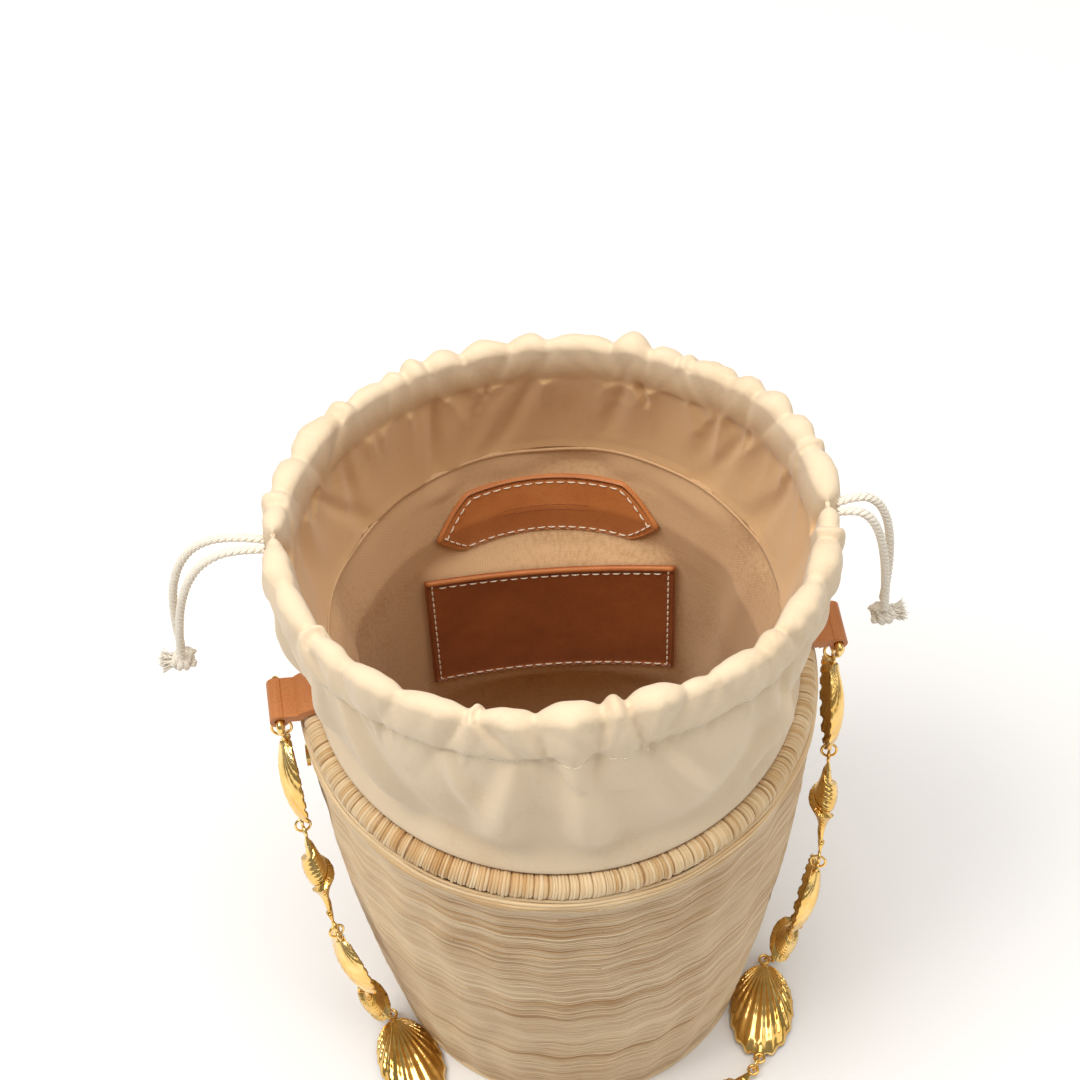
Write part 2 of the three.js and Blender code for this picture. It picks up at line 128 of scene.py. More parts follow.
# ---------- mesh helpers ----------
def make_mesh(name, verts, faces, mat, smooth=True, uv=None):
    """A mesh object from an (n, 3) array and lists or arrays of face corners."""
    mesh = bpy.data.meshes.new(name)
    verts = np.asarray(verts, dtype=np.float32).reshape(-1, 3)
    if isinstance(faces, np.ndarray):
        faces = [faces]
    flat = [np.asarray(f, dtype=np.int32) for f in faces if len(f)]
    totals = np.concatenate([np.full(len(f), f.shape[1], np.int32) for f in flat])
    corners = np.concatenate([f.ravel() for f in flat])
    mesh.vertices.add(len(verts))
    mesh.vertices.foreach_set("co", verts.ravel())
    mesh.loops.add(len(corners))
    mesh.loops.foreach_set("vertex_index", corners)
    mesh.polygons.add(len(totals))
    starts = np.concatenate([[0], np.cumsum(totals)[:-1]]).astype(np.int32)
    mesh.polygons.foreach_set("loop_start", starts)
    mesh.polygons.foreach_set("loop_total", totals)
    if uv is not None:
        layer = mesh.uv_layers.new(name="weave")
        layer.data.foreach_set("uv", np.asarray(uv, np.float32).reshape(-1, 2)[corners].ravel())
    mesh.update()
    mesh.validate()
    mesh.polygons.foreach_set("use_smooth", [smooth] * len(mesh.polygons))
    mesh.materials.append(mat)
    obj = bpy.data.objects.new(name, mesh)
    bpy.context.collection.objects.link(obj)
    return obj


def grid_faces(rows, columns, close_rows=False, close_columns=False, start=0):
    """Quads of a rows by columns grid of vertices."""
    r = np.arange(rows if close_rows else rows - 1)
    c = np.arange(columns if close_columns else columns - 1)
    a, b = np.meshgrid(r, c, indexing="ij")
    a2, b2 = (a + 1) % rows, (b + 1) % columns
    quad = np.stack([a * columns + b, a * columns + b2, a2 * columns + b2, a2 * columns + b], -1)
    return quad.reshape(-1, 4) + start


def section(sides, power=1.0):
    """Points round a unit circle; a power under 1 squares it off."""
    t = np.arange(sides) / sides * TAU
    c, s = np.cos(t), np.sin(t)
    return np.sign(c) * np.abs(c) ** power, np.sign(s) * np.abs(s) ** power


def tubes(points, across, outward, half_across, half_out, sides=6, closed=True, power=1.0):
    """Many tubes at once: points is (tubes, samples, 3), and so are the section's two axes.
    Returns vertices and faces; open tubes get flat ends."""
    count, samples = points.shape[:2]
    c, s = section(sides, power)
    wide = np.broadcast_to(np.asarray(half_across, float), (count, samples))[..., None, None]
    thick = np.broadcast_to(np.asarray(half_out, float), (count, samples))[..., None, None]
    verts = (points[:, :, None] + across[:, :, None] * c[None, None, :, None] * wide
             + outward[:, :, None] * s[None, None, :, None] * thick)
    one = grid_faces(samples, sides, close_rows=closed, close_columns=True)
    steps = (np.arange(count) * samples * sides)[:, None, None]
    faces = [(one[None] + steps).reshape(-1, 4)]
    if not closed:
        cap = np.arange(sides)[None]
        steps = steps[:, :, 0]
        faces += [cap[:, ::-1] + steps, cap + (samples - 1) * sides + steps]
    return verts.reshape(-1, 3), faces


def frames(points, hint=(0, 0, 1), closed=False):
    """Two unit axes at right angles to each path, for paths given as (tubes, samples, 3)."""
    if closed:
        along = np.roll(points, -1, axis=1) - np.roll(points, 1, axis=1)
    else:
        along = np.gradient(points, axis=1)
    along = unit(along)
    across = unit(np.cross(along, np.broadcast_to(np.asarray(hint, float), along.shape)))
    return across, np.cross(across, along)


def unit(v):
    return v / np.maximum(np.linalg.norm(v, axis=-1, keepdims=True), 1e-12)


def merge(parts):
    """Joins (vertices, faces) pairs into one."""
    verts, faces, start = [], [], 0
    for v, f in parts:
        verts.append(v)
        faces += [np.asarray(x) + start for x in f]
        start += len(v)
    return np.concatenate(verts), faces


def smooth(t):
    t = np.clip(t, 0, 1)
    return t * t * (3 - 2 * t)


def turn_liner(points):
    """From the liner's own axes to the bag's: the liner sits a little round from the basket."""
    c, s = math.cos(LINER_TURN), math.sin(LINER_TURN)
    x, y, z = np.moveaxis(np.asarray(points, float), -1, 0)
    return np.stack([x * c - y * s, x * s + y * c, z], -1)


def finish_piece(obj, body, replaced=()):
    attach(obj, body)
    if replaced:
        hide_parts(*replaced)
    return obj


# ---------- materials ----------
class Nodes:
    """Short calls for building a material's node tree."""

    def __init__(self, name):
        self.mat = bpy.data.materials.new(name)
        self.mat.use_nodes = True
        self.tree = self.mat.node_tree
        self.shader = self.tree.nodes["Principled BSDF"]

    def add(self, kind, settings=None, **inputs):
        node = self.tree.nodes.new("ShaderNode" + kind)
        for key, value in (settings or {}).items():
            setattr(node, key, value)
        for key, value in inputs.items():
            self.put(node, key.replace("_", " "), value)
        return node

    def put(self, node, socket, value):
        if isinstance(socket, str) and socket.isdigit():
            socket = int(socket)
        target = node.inputs[socket]
        if isinstance(value, bpy.types.NodeSocket):
            self.tree.links.new(value, target)
        elif isinstance(value, bpy.types.Node):
            self.tree.links.new(value.outputs[0], target)
        else:
            target.default_value = value

    def coords(self, uv=False, scale=(1, 1, 1)):
        if uv:
            source = self.add("UVMap", {"uv_map": "weave"}).outputs[0]
        else:
            source = self.add("TexCoord").outputs["Object"]
        return self.add("Mapping", Vector=source, Scale=scale)

    def noise(self, vector, scale, detail=3.0, rough=0.5, distort=0.0):
        return self.add("TexNoise", Vector=vector, Scale=scale, Detail=detail, Roughness=rough,
                        Distortion=distort).outputs["Fac"]

    def ramp(self, value, stops):
        node = self.add("ValToRGB", Fac=value)
        ramp = node.color_ramp
        while len(ramp.elements) < len(stops):
            ramp.elements.new(0.5)
        for element, (place, color) in zip(ramp.elements, stops):
            element.position = place
            element.color = color if len(color) == 4 else (*color, 1)
        return node.outputs["Color"]

    def math(self, operation, a, b=0.0):
        node = self.add("Math", {"operation": operation})
        self.put(node, 0, a)
        self.put(node, 1, b)
        return node.outputs[0]

    def mix(self, factor, a, b, blend="MIX"):
        node = self.add("Mix", {"data_type": "RGBA", "blend_type": blend})
        self.put(node, 0, factor)
        self.put(node, 6, a)
        self.put(node, 7, b)
        return node.outputs[2]

    def span(self, value, low, high):
        node = self.add("MapRange", Value=value)
        node.inputs["To Min"].default_value = low
        node.inputs["To Max"].default_value = high
        return node.outputs[0]

    def bump(self, height, strength, distance, normal=None):
        node = self.add("Bump", Height=height, Strength=strength, Distance=distance)
        if normal is not None:
            self.put(node, "Normal", normal)
        return node.outputs[0]

    def done(self, **sockets):
        for key, value in sockets.items():
            name = {"color": "Base Color", "rough": "Roughness", "normal": "Normal",
                    "metal": "Metallic", "sheen": "Sheen Weight", "sheen_rough": "Sheen Roughness",
                    "sub": "Subsurface Weight", "coat": "Coat Weight", "ior": "IOR",
                    "coat_rough": "Coat Roughness", "aniso": "Anisotropic",
                    "specular": "Specular IOR Level"}[key]
            if isinstance(value, tuple) and len(value) == 3:
                value = (*value, 1)
            self.put(self.shader, name, value)
        return self.mat


def straw_material(name, pale, middle, dark, along=24, across=900):
    """Dried straw: long fibres, each strand its own shade. UV u runs along a strand."""
    n = Nodes(name)
    fibre = n.noise(n.coords(True, (along, across, 1)), 1.0, 4, 0.6)
    strand = n.noise(n.coords(True, (6, 240, 1)), 1.0, 2, 0.5)
    patch = n.noise(n.coords(False), 22, 3, 0.55)
    tone = n.math("ADD", n.math("MULTIPLY", strand, 0.62), n.math("MULTIPLY", patch, 0.38))
    color = n.ramp(tone, [(0.35, dark), (0.445, middle), (0.54, pale), (0.68, tuple(
        min(1, c * 1.12) for c in pale))])
    color = n.mix(n.span(fibre, 0.0, 0.8), color, n.mix(1.0, color, (*middle, 1), "MULTIPLY"))
    normal = n.bump(fibre, 0.6, 0.0004)
    return n.done(color=color, rough=n.span(fibre, 0.42, 0.68), normal=normal, specular=0.4,
                  sheen=0.08)


def cloth_material(name, pale, shade, thread, kind="plain", sheen=0.25, painted_inside_shade=None):
    """Woven cotton. UV is in metres on the cloth, and thread is the spacing of its yarns."""
    n = Nodes(name)
    k = 1 / thread
    uv = n.add("SeparateXYZ", Vector=n.coords(True, (k, k, k)))
    u, v = uv.outputs[0], uv.outputs[1]
    wobble = n.noise(n.coords(True, (260, 260, 1)), 1.0, 2)
    if kind == "plain":
        warp = n.math("SINE", n.math("MULTIPLY", u, TAU / 2))
        weft = n.math("SINE", n.math("MULTIPLY", v, TAU / 2))
        weave = n.math("MULTIPLY", warp, weft)
        weave = n.math("ABSOLUTE", weave)
    else:
        # herringbone twill: the slant turns back every few yarns
        turnback = n.math("PINGPONG", u, 9.0)
        slant = n.math("ADD", turnback, n.math("MULTIPLY", v, 1.0))
        weave = n.math("ABSOLUTE", n.math("SINE", n.math("MULTIPLY", slant, TAU / 2)))
        ribs = n.math("ABSOLUTE", n.math("SINE", n.math("MULTIPLY", v, TAU)))
        weave = n.math("ADD", n.math("MULTIPLY", weave, 0.7), n.math("MULTIPLY", ribs, 0.3))
    slub = n.noise(n.coords(True, (520, 640, 1)), 1.0, 3, 0.6)
    cloud = n.noise(n.coords(False), 14, 4, 0.6)
    quiet = 0.22 if kind == "plain" else 0.4
    tone = n.math("ADD", n.math("MULTIPLY", cloud, 1 - quiet), n.math("MULTIPLY", slub, quiet))
    color = n.ramp(tone, [(0.30, shade), (0.5, pale), (0.7, tuple(min(1, c * 1.05) for c in pale))])
    depth = n.span(weave, 0.5 if kind != "plain" else 0.14, 0.0)
    color = n.mix(depth, color, n.mix(1.0, color, (*shade, 1), "MULTIPLY"))
    if painted_inside_shade:
        # past the casing the cotton turns down inside the bag, and from there its colour is multiplied
        # by a warm, darker tint: painted shade and painted warm bounce light inside the bag
        turned = n.add("MapRange", Value=n.add("SeparateXYZ", Vector=n.coords(True)).outputs[1])
        turned.inputs["From Min"].default_value = painted_inside_shade[0]
        turned.inputs["From Max"].default_value = painted_inside_shade[0] + 14 * MM
        color = n.mix(turned, color, n.mix(1.0, color, (*painted_inside_shade[1], 1), "MULTIPLY"))
    fuzz = n.math("ADD", n.math("MULTIPLY", weave, 0.75), n.math("MULTIPLY", slub, quiet * 0.5))
    fuzz = n.math("ADD", fuzz, n.math("MULTIPLY", wobble, 0.2))
    normal = n.bump(fuzz, 0.55 if kind != "plain" else 0.4, 0.00018)
    normal = n.bump(n.noise(n.coords(False), 120, 4, 0.6), 0.12, 0.0012, normal)
    return n.done(color=color, rough=0.92, normal=normal, sheen=sheen, sheen_rough=0.5,
                  specular=0.2, sub=0.0)


def leather_material(name, pale, dark, grain=1400):
    n = Nodes(name)
    cells = n.add("TexVoronoi", {"feature": "DISTANCE_TO_EDGE"}, Vector=n.coords(False),
                  Scale=grain).outputs["Distance"]
    fine = n.noise(n.coords(False), grain * 1.6, 4, 0.6)
    cloud = n.noise(n.coords(False), 45, 4, 0.6)
    tone = n.math("ADD", n.math("MULTIPLY", cloud, 0.75), n.math("MULTIPLY", fine, 0.25))
    color = n.ramp(tone, [(0.33, dark), (0.66, pale)])
    pores = n.math("MINIMUM", n.math("MULTIPLY", cells, 6.0), 1.0)
    color = n.mix(n.span(pores, 0.35, 0.0), color, (*[c * 0.5 for c in dark], 1))
    normal = n.bump(pores, 0.22, 0.0002)
    normal = n.bump(cloud, 0.15, 0.0015, normal)
    return n.done(color=color, rough=n.span(fine, 0.36, 0.56), normal=normal, specular=0.45)


def gold_material(name="gold_polished"):
    n = Nodes(name)
    cloud = n.noise(n.coords(False), 90, 3, 0.55)
    fine = n.noise(n.coords(False), 1600, 3, 0.6)
    color = n.ramp(cloud, [(0.3, (0.72, 0.42, 0.09)), (0.55, (0.90, 0.60, 0.20)),
                           (0.75, (0.98, 0.74, 0.34))])
    normal = n.bump(fine, 0.05, 0.00006)
    normal = n.bump(cloud, 0.05, 0.0004, normal)
    return n.done(color=color, metal=1.0, rough=n.span(cloud, 0.12, 0.24), normal=normal)


def thread_material(name, pale, dark):
    n = Nodes(name)
    twist = n.add("TexWave", {"bands_direction": "DIAGONAL"}, Vector=n.coords(False), Scale=520,
                  Distortion=2.0, Detail=2.0).outputs["Fac"]
    fine = n.noise(n.coords(False), 2400, 4, 0.7)
    color = n.ramp(n.math("ADD", n.math("MULTIPLY", twist, 0.4), n.math("MULTIPLY", fine, 0.6)),
                   [(0.3, dark), (0.6, pale)])
    normal = n.bump(n.math("ADD", twist, fine), 0.4, 0.00015)
    return n.done(color=color, rough=0.9, normal=normal, sheen=0.3, specular=0.2)


def make_materials():
    return {
        "straw": straw_material("woven_straw", (0.80, 0.66, 0.46), (0.70, 0.53, 0.33),
                                (0.52, 0.33, 0.16)),
        "wrap": straw_material("wrapped_straw", (0.82, 0.68, 0.46), (0.72, 0.53, 0.30),
                               (0.56, 0.34, 0.14), 60, 1600),
        "core": straw_material("dark_straw", (0.50, 0.31, 0.13), (0.40, 0.22, 0.08),
                               (0.25, 0.12, 0.04)),
        # the cream cotton gets a painted warm shade past the casing, where it turns down inside the bag
        "cotton": cloth_material("cream_cotton", (0.76, 0.62, 0.44), (0.67, 0.50, 0.31), 0.00042,
                                 painted_inside_shade=(128 * MM, (1.0, 0.82, 0.60))),
        "twill": cloth_material("herringbone_twill", (0.68, 0.47, 0.27), (0.48, 0.29, 0.14),
                                0.00085, "twill", 0.1),
        "tan": leather_material("tan_leather", (0.62, 0.24, 0.075), (0.48, 0.155, 0.04)),
        "brown": leather_material("brown_leather", (0.42, 0.13, 0.038), (0.30, 0.082, 0.022)),
        "gold": gold_material(),
        "cord": thread_material("cotton_cord", (0.86, 0.81, 0.72), (0.66, 0.58, 0.46)),
        "thread": thread_material("sewing_thread", (0.88, 0.80, 0.66), (0.68, 0.56, 0.40)),
    }


# ---------- basket ----------
STAKES = 28


def wall_radius(z):
    return WIDE_RADIUS - (WIDE_RADIUS - FOOT_RADIUS) * np.maximum(0, 1 - z / WALL_TOP) ** 1.75


def circle_rows(radius, z, angles):
    """Rings of points: radius and z are (rows, samples) arrays."""
    return np.stack([radius * np.cos(angles), radius * np.sin(angles),
                     np.broadcast_to(z, radius.shape)], -1)


def round_axes(angles, shape):
    out = np.stack([np.cos(angles), np.sin(angles), np.zeros_like(angles)], -1)
    up = np.zeros_like(out)
    up[..., 2] = 1
    return np.broadcast_to(up, (*shape, 3)), np.broadcast_to(out, (*shape, 3))


def strand_uv(count, samples, sides, length):
    """u runs along the strand in metres, and v sets each strand apart."""
    u = np.broadcast_to((np.arange(samples) / samples * length)[None, :, None],
                        (count, samples, sides))
    shift = rng.random((count, 1, 1)) * 3
    v = (np.arange(count)[:, None, None] * 0.02 + np.arange(sides)[None, None, :] / sides * 0.004
         + np.zeros((count, samples, sides)))
    return np.stack([u + shift, v], -1).reshape(-1, 2)


def make_wall(mats):
    """Fine straw strands that pass in a gentle wave over upright stakes."""
    pitch, low, high = 1.42 * MM, 2.6 * MM, WALL_TOP + 3.6 * MM
    rows = int((high - low) / pitch)
    samples = STAKES * 10
    z = low + (np.arange(rows) + 0.5)[:, None] * pitch
    # each row starts at its own place round the basket, so no seam shows
    angles = np.arange(samples)[None] / samples * TAU + rng.random((rows, 1)) * TAU
    drift = 0.9 * np.sin(z * 60) + 0.5 * np.sin(z * 143 + 1)
    wave = np.sin(STAKES * angles + drift + 0.5 * np.sin(3 * angles + z * 40))
    calm = smooth((high - 3 * MM - z) / (12 * MM))
    jitter = rng.normal(0, 0.12 * MM, (rows, 1))
    reach = wall_radius(z) - 1.25 * MM + 1.5 * MM * (1 - calm)
    reach = reach - 0.9 * MM * smooth((z - high) / (4 * MM) + 1)
    radius = reach + 0.45 * MM * wave * (0.1 + 0.9 * calm) + jitter
    sway = waves(angles, [(5, 0.30), (9, 0.22), (14, 0.16)], 51) * MM
    ripple = 0.32 * MM * np.sin(STAKES * angles + drift + 1.2) + sway
    height = z + ripple * (0.35 + 0.65 * calm)
    points = circle_rows(radius, height, angles)
    up, out = round_axes(angles, (rows, samples))
    swell = 1 + 0.10 * np.sin(23 * angles + rng.random((rows, 1)) * TAU)
    wide = 0.60 * MM * (1 + rng.normal(0, 0.12, (rows, 1))) * swell
    verts, faces = tubes(points, up, out, wide, 0.66 * MM, sides=6, power=0.85)
    obj = make_mesh("basket_weave", verts, faces, mats["straw"],
                    uv=strand_uv(rows, samples, 6, TAU * WIDE_RADIUS))
    finish_piece(obj, "root", ["basket_wall"])
    # the darker straw that shows between the strands, with upright stakes inside it
    steps, around = 60, STAKES * 8
    heights = np.linspace(1.5 * MM, WALL_TOP + 1 * MM, steps)[:, None]
    spin = np.arange(around)[None] / around * TAU
    outer = circle_rows(wall_radius(heights) - 2.35 * MM + 0 * spin, heights + 0 * spin, spin)
    stake = 0.55 * MM * np.maximum(0, np.cos(STAKES * spin)) ** 3
    inner = circle_rows(wall_radius(heights) - 2.7 * MM - stake, heights + 0 * spin, spin)
    rings = np.concatenate([outer, inner[::-1]])
    obj = make_mesh("basket_stakes", rings.reshape(-1, 3),
                    grid_faces(2 * steps, around, close_rows=True, close_columns=True), mats["core"],
                    uv=strand_uv(2 * steps, around, 1, 0.5))
    finish_piece(obj, "root")


def make_base(mats):
    """The underside: straw rings laid close, with a stout foot ring."""
    pitch = 2.0 * MM
    count = int((FOOT_RADIUS - WALL_THICKNESS - 1 * MM) / pitch)
    samples = 144
    angles = np.arange(samples)[None] / samples * TAU + rng.random((count, 1)) * TAU
    radius = (np.arange(count) + 0.6)[:, None] * pitch + 0 * angles
    z = 1.7 * MM + 0.35 * MM * np.sin(24 * angles + np.arange(count)[:, None] * math.pi)
    up, out = round_axes(angles, (count, samples))
    verts, faces = tubes(circle_rows(radius, z, angles), up, out, 1.05 * MM, 1.08 * MM, sides=6)
    obj = make_mesh("base_weave", verts, faces, mats["straw"],
                    uv=strand_uv(count, samples, 6, 0.3))
    finish_piece(obj, "root", ["basket_base"])
    radius = np.array([[69.2], [67.0]]) * MM + 0 * angles[:2]
    z = np.array([[1.35], [1.5]]) * MM + 0 * angles[:2]
    up, out = round_axes(angles[:2], (2, samples))
    verts, faces = tubes(circle_rows(radius, z, angles[:2]), up, out, 1.3 * MM, 1.2 * MM, sides=8)
    obj = make_mesh("foot_ring", verts, faces, mats["wrap"], uv=strand_uv(2, samples, 8, 0.3))
    finish_piece(obj, "root")


def make_rim(mats):
    """A coil wrapped close with flat straw, over a darker core, with a smooth band outside it."""
    centre_z = BASKET_HEIGHT - COIL_HALF
    samples = 180
    angles = np.arange(samples)[None] / samples * TAU
    up, out = round_axes(angles, (1, samples))
    core = circle_rows(COIL_RADIUS + 0 * angles, centre_z + 0 * angles, angles)
    verts, faces = tubes(core, up, out, 4.1 * MM, 4.1 * MM, sides=14)
    obj = make_mesh("rim_core", verts, faces, mats["core"], uv=strand_uv(1, samples, 14, 0.5))
    finish_piece(obj, "root", ["rim_coil"])
    wraps, steps = 158, 24
    share = np.clip(rng.normal(1, 0.17, wraps), 0.6, 1.5)
    share = share / share.sum() * TAU
    spin = (np.cumsum(share) - share / 2)[:, None]
    tilt = (0.22 + rng.normal(0, 0.07, wraps))[:, None]
    # each wrap is three narrow straws side by side
    beside = np.tile([-1.0, 0.0, 1.0], wraps)[:, None]
    share, spin, tilt = (np.repeat(v, 3, axis=0) for v in (share, spin, tilt))
    spin = spin + beside * share[:, None] * 0.30
    wraps = wraps * 3
    round_ = np.arange(steps)[None] / steps * TAU
    half = COIL_HALF - 0.6 * MM + rng.normal(0, 0.10 * MM, (wraps, 1)) - 0.20 * MM * np.abs(beside)
    place = spin + tilt * np.sin(round_ + 0.6) * half / COIL_RADIUS
    radius = COIL_RADIUS + half * np.cos(round_)
    points = np.stack([radius * np.cos(place), radius * np.sin(place),
                       centre_z + half * np.sin(round_) + 0 * place], -1)
    out_dir = np.stack([np.cos(round_) * np.cos(place), np.cos(round_) * np.sin(place),
                        np.sin(round_) + 0 * place], -1)
    side = np.stack([-np.sin(place), np.cos(place), 0 * place], -1)
    wide = share[:, None] * COIL_RADIUS * 0.175 * (1 + 0.08 * np.cos(round_ - 0.5)
                                                   + 0.05 * np.sin(2 * round_ + spin * 7))
    verts, faces = tubes(points, side, out_dir, wide, 0.62 * MM, sides=8, power=0.85)
    obj = make_mesh("rim_wraps", verts, faces, mats["wrap"], uv=strand_uv(wraps, steps, 8, 0.03))
    finish_piece(obj, "root")
    # the last rows of the wall lie smooth and close under the coil
    heights = WALL_TOP + np.array([3.7, 2.3, 0.9, -0.5, -1.9]) * MM
    reach = WIDE_RADIUS + np.array([-0.45, 0.30, 0.62, 0.55, 0.25]) * MM
    count = len(heights)
    angles = np.arange(samples)[None] / samples * TAU + rng.random((count, 1)) * TAU
    lift = 0.35 * MM * np.sin(7 * angles + 1) + 0.2 * MM * np.sin(17 * angles)
    sway = 0.22 * MM * np.sin(14 * angles + np.arange(count)[:, None])
    rows = circle_rows(reach[:, None] + sway, heights[:, None] + lift, angles)
    up, out = round_axes(angles, (count, samples))
    verts, faces = tubes(rows, up, out, 0.72 * MM, 0.62 * MM, sides=8, power=0.8)
    obj = make_mesh("rim_band_strands", verts, faces, mats["wrap"],
                    uv=strand_uv(count, samples, 8, 0.5))
    finish_piece(obj, "root", ["rim_band"])


# ---------- liner ----------
def collar_radius(z):
    t = np.clip((z - BASKET_HEIGHT) / (MOUTH_HEIGHT - BASKET_HEIGHT), 0, 1)
    return NECK_RADIUS + COLLAR_SWELL * np.sin(np.minimum(1, t * 1.25) * math.pi / 2)


def oval_stretch(z):
    t = smooth((z - BASKET_HEIGHT) / (MOUTH_HEIGHT - BASKET_HEIGHT))
    return 1 + (MOUTH_HALF_LENGTH / MOUTH_RADIUS - 1) * t, 1 + (MOUTH_HALF_WIDTH / MOUTH_RADIUS - 1) * t


def waves(angles, terms, seed):
    """A smooth random ripple round the bag: terms are (count, size) pairs."""
    r = np.random.default_rng(seed)
    total = 0 * angles
    for count, size in terms:
        total = total + size * np.sin(count * angles + r.random() * TAU)
    return total


def lobes(angles, z, count, seed, middle):
    """Uneven puffs round the mouth: 0 in the creases between them and up to about 1 on top.
    Creases slant a little as they go up and down."""
    r = np.random.default_rng(seed)
    share = np.clip(r.normal(1, 0.33, count), 0.45, 1.9)
    ends = np.concatenate([[0], np.cumsum(share / share.sum())]) * TAU
    slant = r.normal(0, 5.0, count)
    slant = np.append(slant, slant[0])
    size = np.clip(r.normal(0.85, 0.22, count), 0.4, 1.3)
    rows = []
    for height in np.ravel(z):
        edges = ends + slant * (height - middle)
        edges = np.concatenate([edges[:-1] - TAU, edges[:-1], edges + TAU])
        place = np.interp(np.ravel(angles), edges, np.arange(len(edges)))
        index = place.astype(int) % count
        rows.append(np.sin((place % 1) * math.pi) ** 0.62 * size[index])
    return np.array(rows)


def folds(angles, rise, count, seed):
    """Slanting folds that start fine at the casing, where rise is 1, and broaden on the way down."""
    r = np.random.default_rng(seed)
    down = 1 - rise
    total = np.zeros(np.broadcast_shapes(angles.shape, down.shape))
    for start in (np.arange(count) + r.uniform(-0.35, 0.35, count)) / count * TAU:
        width = r.uniform(0.04, 0.07) * (0.6 + 1.4 * down)
        away = (angles - start - r.uniform(-0.4, 0.4) * down + math.pi) % TAU - math.pi
        strength = r.uniform(0.5, 1.0) * smooth((r.uniform(0.6, 1.1) - down) / 0.4)
        near = (away / width) ** 2
        total += strength * (np.exp(-near) - 0.5 * np.exp(-near / 6))
    return total


def simulate(obj, pin, grow, frames_, most, pressure, bending=1.6, scale=10.0):
    """Lets Blender's cloth settle the free part of a mesh. The cloth is simulated at ten times its
    size, where the solver's own limits are small against it. grow, from 0 to 1, is where it was
    cut larger than it lies, by most at 1."""
    mesh = obj.data
    co = np.empty(len(mesh.vertices) * 3, np.float32)
    mesh.vertices.foreach_get("co", co)
    mesh.vertices.foreach_set("co", co * scale)
    mesh.update()
    group = obj.vertex_groups.new(name="pin")
    pin = np.clip(pin, 0, 1)
    for level in np.unique(np.round(pin, 2)):
        if level > 0:
            group.add(np.nonzero(np.round(pin, 2) == level)[0].tolist(), float(level), "REPLACE")
    wide = obj.vertex_groups.new(name="grow")
    wide.add(np.nonzero(grow > 0.5)[0].tolist(), 1.0, "REPLACE")
    modifier = obj.modifiers.new("cloth", "CLOTH")
    cloth = modifier.settings
    cloth.quality = 5
    cloth.mass = 0.25
    cloth.tension_stiffness = 18
    cloth.compression_stiffness = 18
    cloth.shear_stiffness = 8
    cloth.bending_stiffness = bending
    cloth.air_damping = 4
    cloth.vertex_group_mass = "pin"
    cloth.vertex_group_shrink = "grow"
    cloth.shrink_min = 0
    cloth.shrink_max = -most
    cloth.use_pressure = pressure > 0
    cloth.uniform_pressure_force = pressure
    modifier.point_cache.frame_start = 1
    modifier.point_cache.frame_end = frames_
    scene = bpy.context.scene
    for number in range(1, frames_ + 1):
        scene.frame_set(number)
    apply_modifiers(obj)
    scene.frame_set(1)
    mesh = obj.data
    co = np.empty(len(mesh.vertices) * 3, np.float32)
    mesh.vertices.foreach_get("co", co)
    mesh.vertices.foreach_set("co", co / scale)
    mesh.update()
    obj.vertex_groups.clear()


def collar_profile(casing_low, inside_low):
    """The collar's section as (height, how far in from the outside): up the outside to the
    casing, over the casing, and down inside to the lining."""
    half = CASING_THICKNESS / 2
    at_rim = BASKET_HEIGHT + np.array([-2, -0.6, 0.6, 2, 3.6]) * MM
    heights = [np.linspace(COLLAR_FOOT + 2 * MM, BASKET_HEIGHT - 4 * MM, 7), at_rim,
               np.linspace(BASKET_HEIGHT + 6 * MM, casing_low, 28)]
    outer = [(z, 0.0) for z in np.concatenate(heights)]
    top_z = MOUTH_HEIGHT - half - 1 * MM
    plump = 0.9 * MM
    bulge = [(casing_low + (top_z - casing_low) * t, -plump * math.sin(math.pi * t))
             for t in np.linspace(0.12, 1, 9)]
    arc = np.linspace(0, math.pi, 13)[1:-1]
    over = [(top_z + half * math.sin(a), half - half * math.cos(a)) for a in arc]
    back = [(casing_low + (top_z - casing_low) * t, 2 * half + plump * math.sin(math.pi * t))
            for t in np.linspace(1, 0.12, 8)]
    seam_inward = collar_radius(inside_low) - lining_inside(inside_low) + 0.9 * MM
    inner = [(casing_low + (inside_low - casing_low) * t,
              2 * half + (seam_inward - 2 * half) * smooth(t)) for t in np.linspace(0, 1, 20)]
    return outer, bulge + over + back, inner


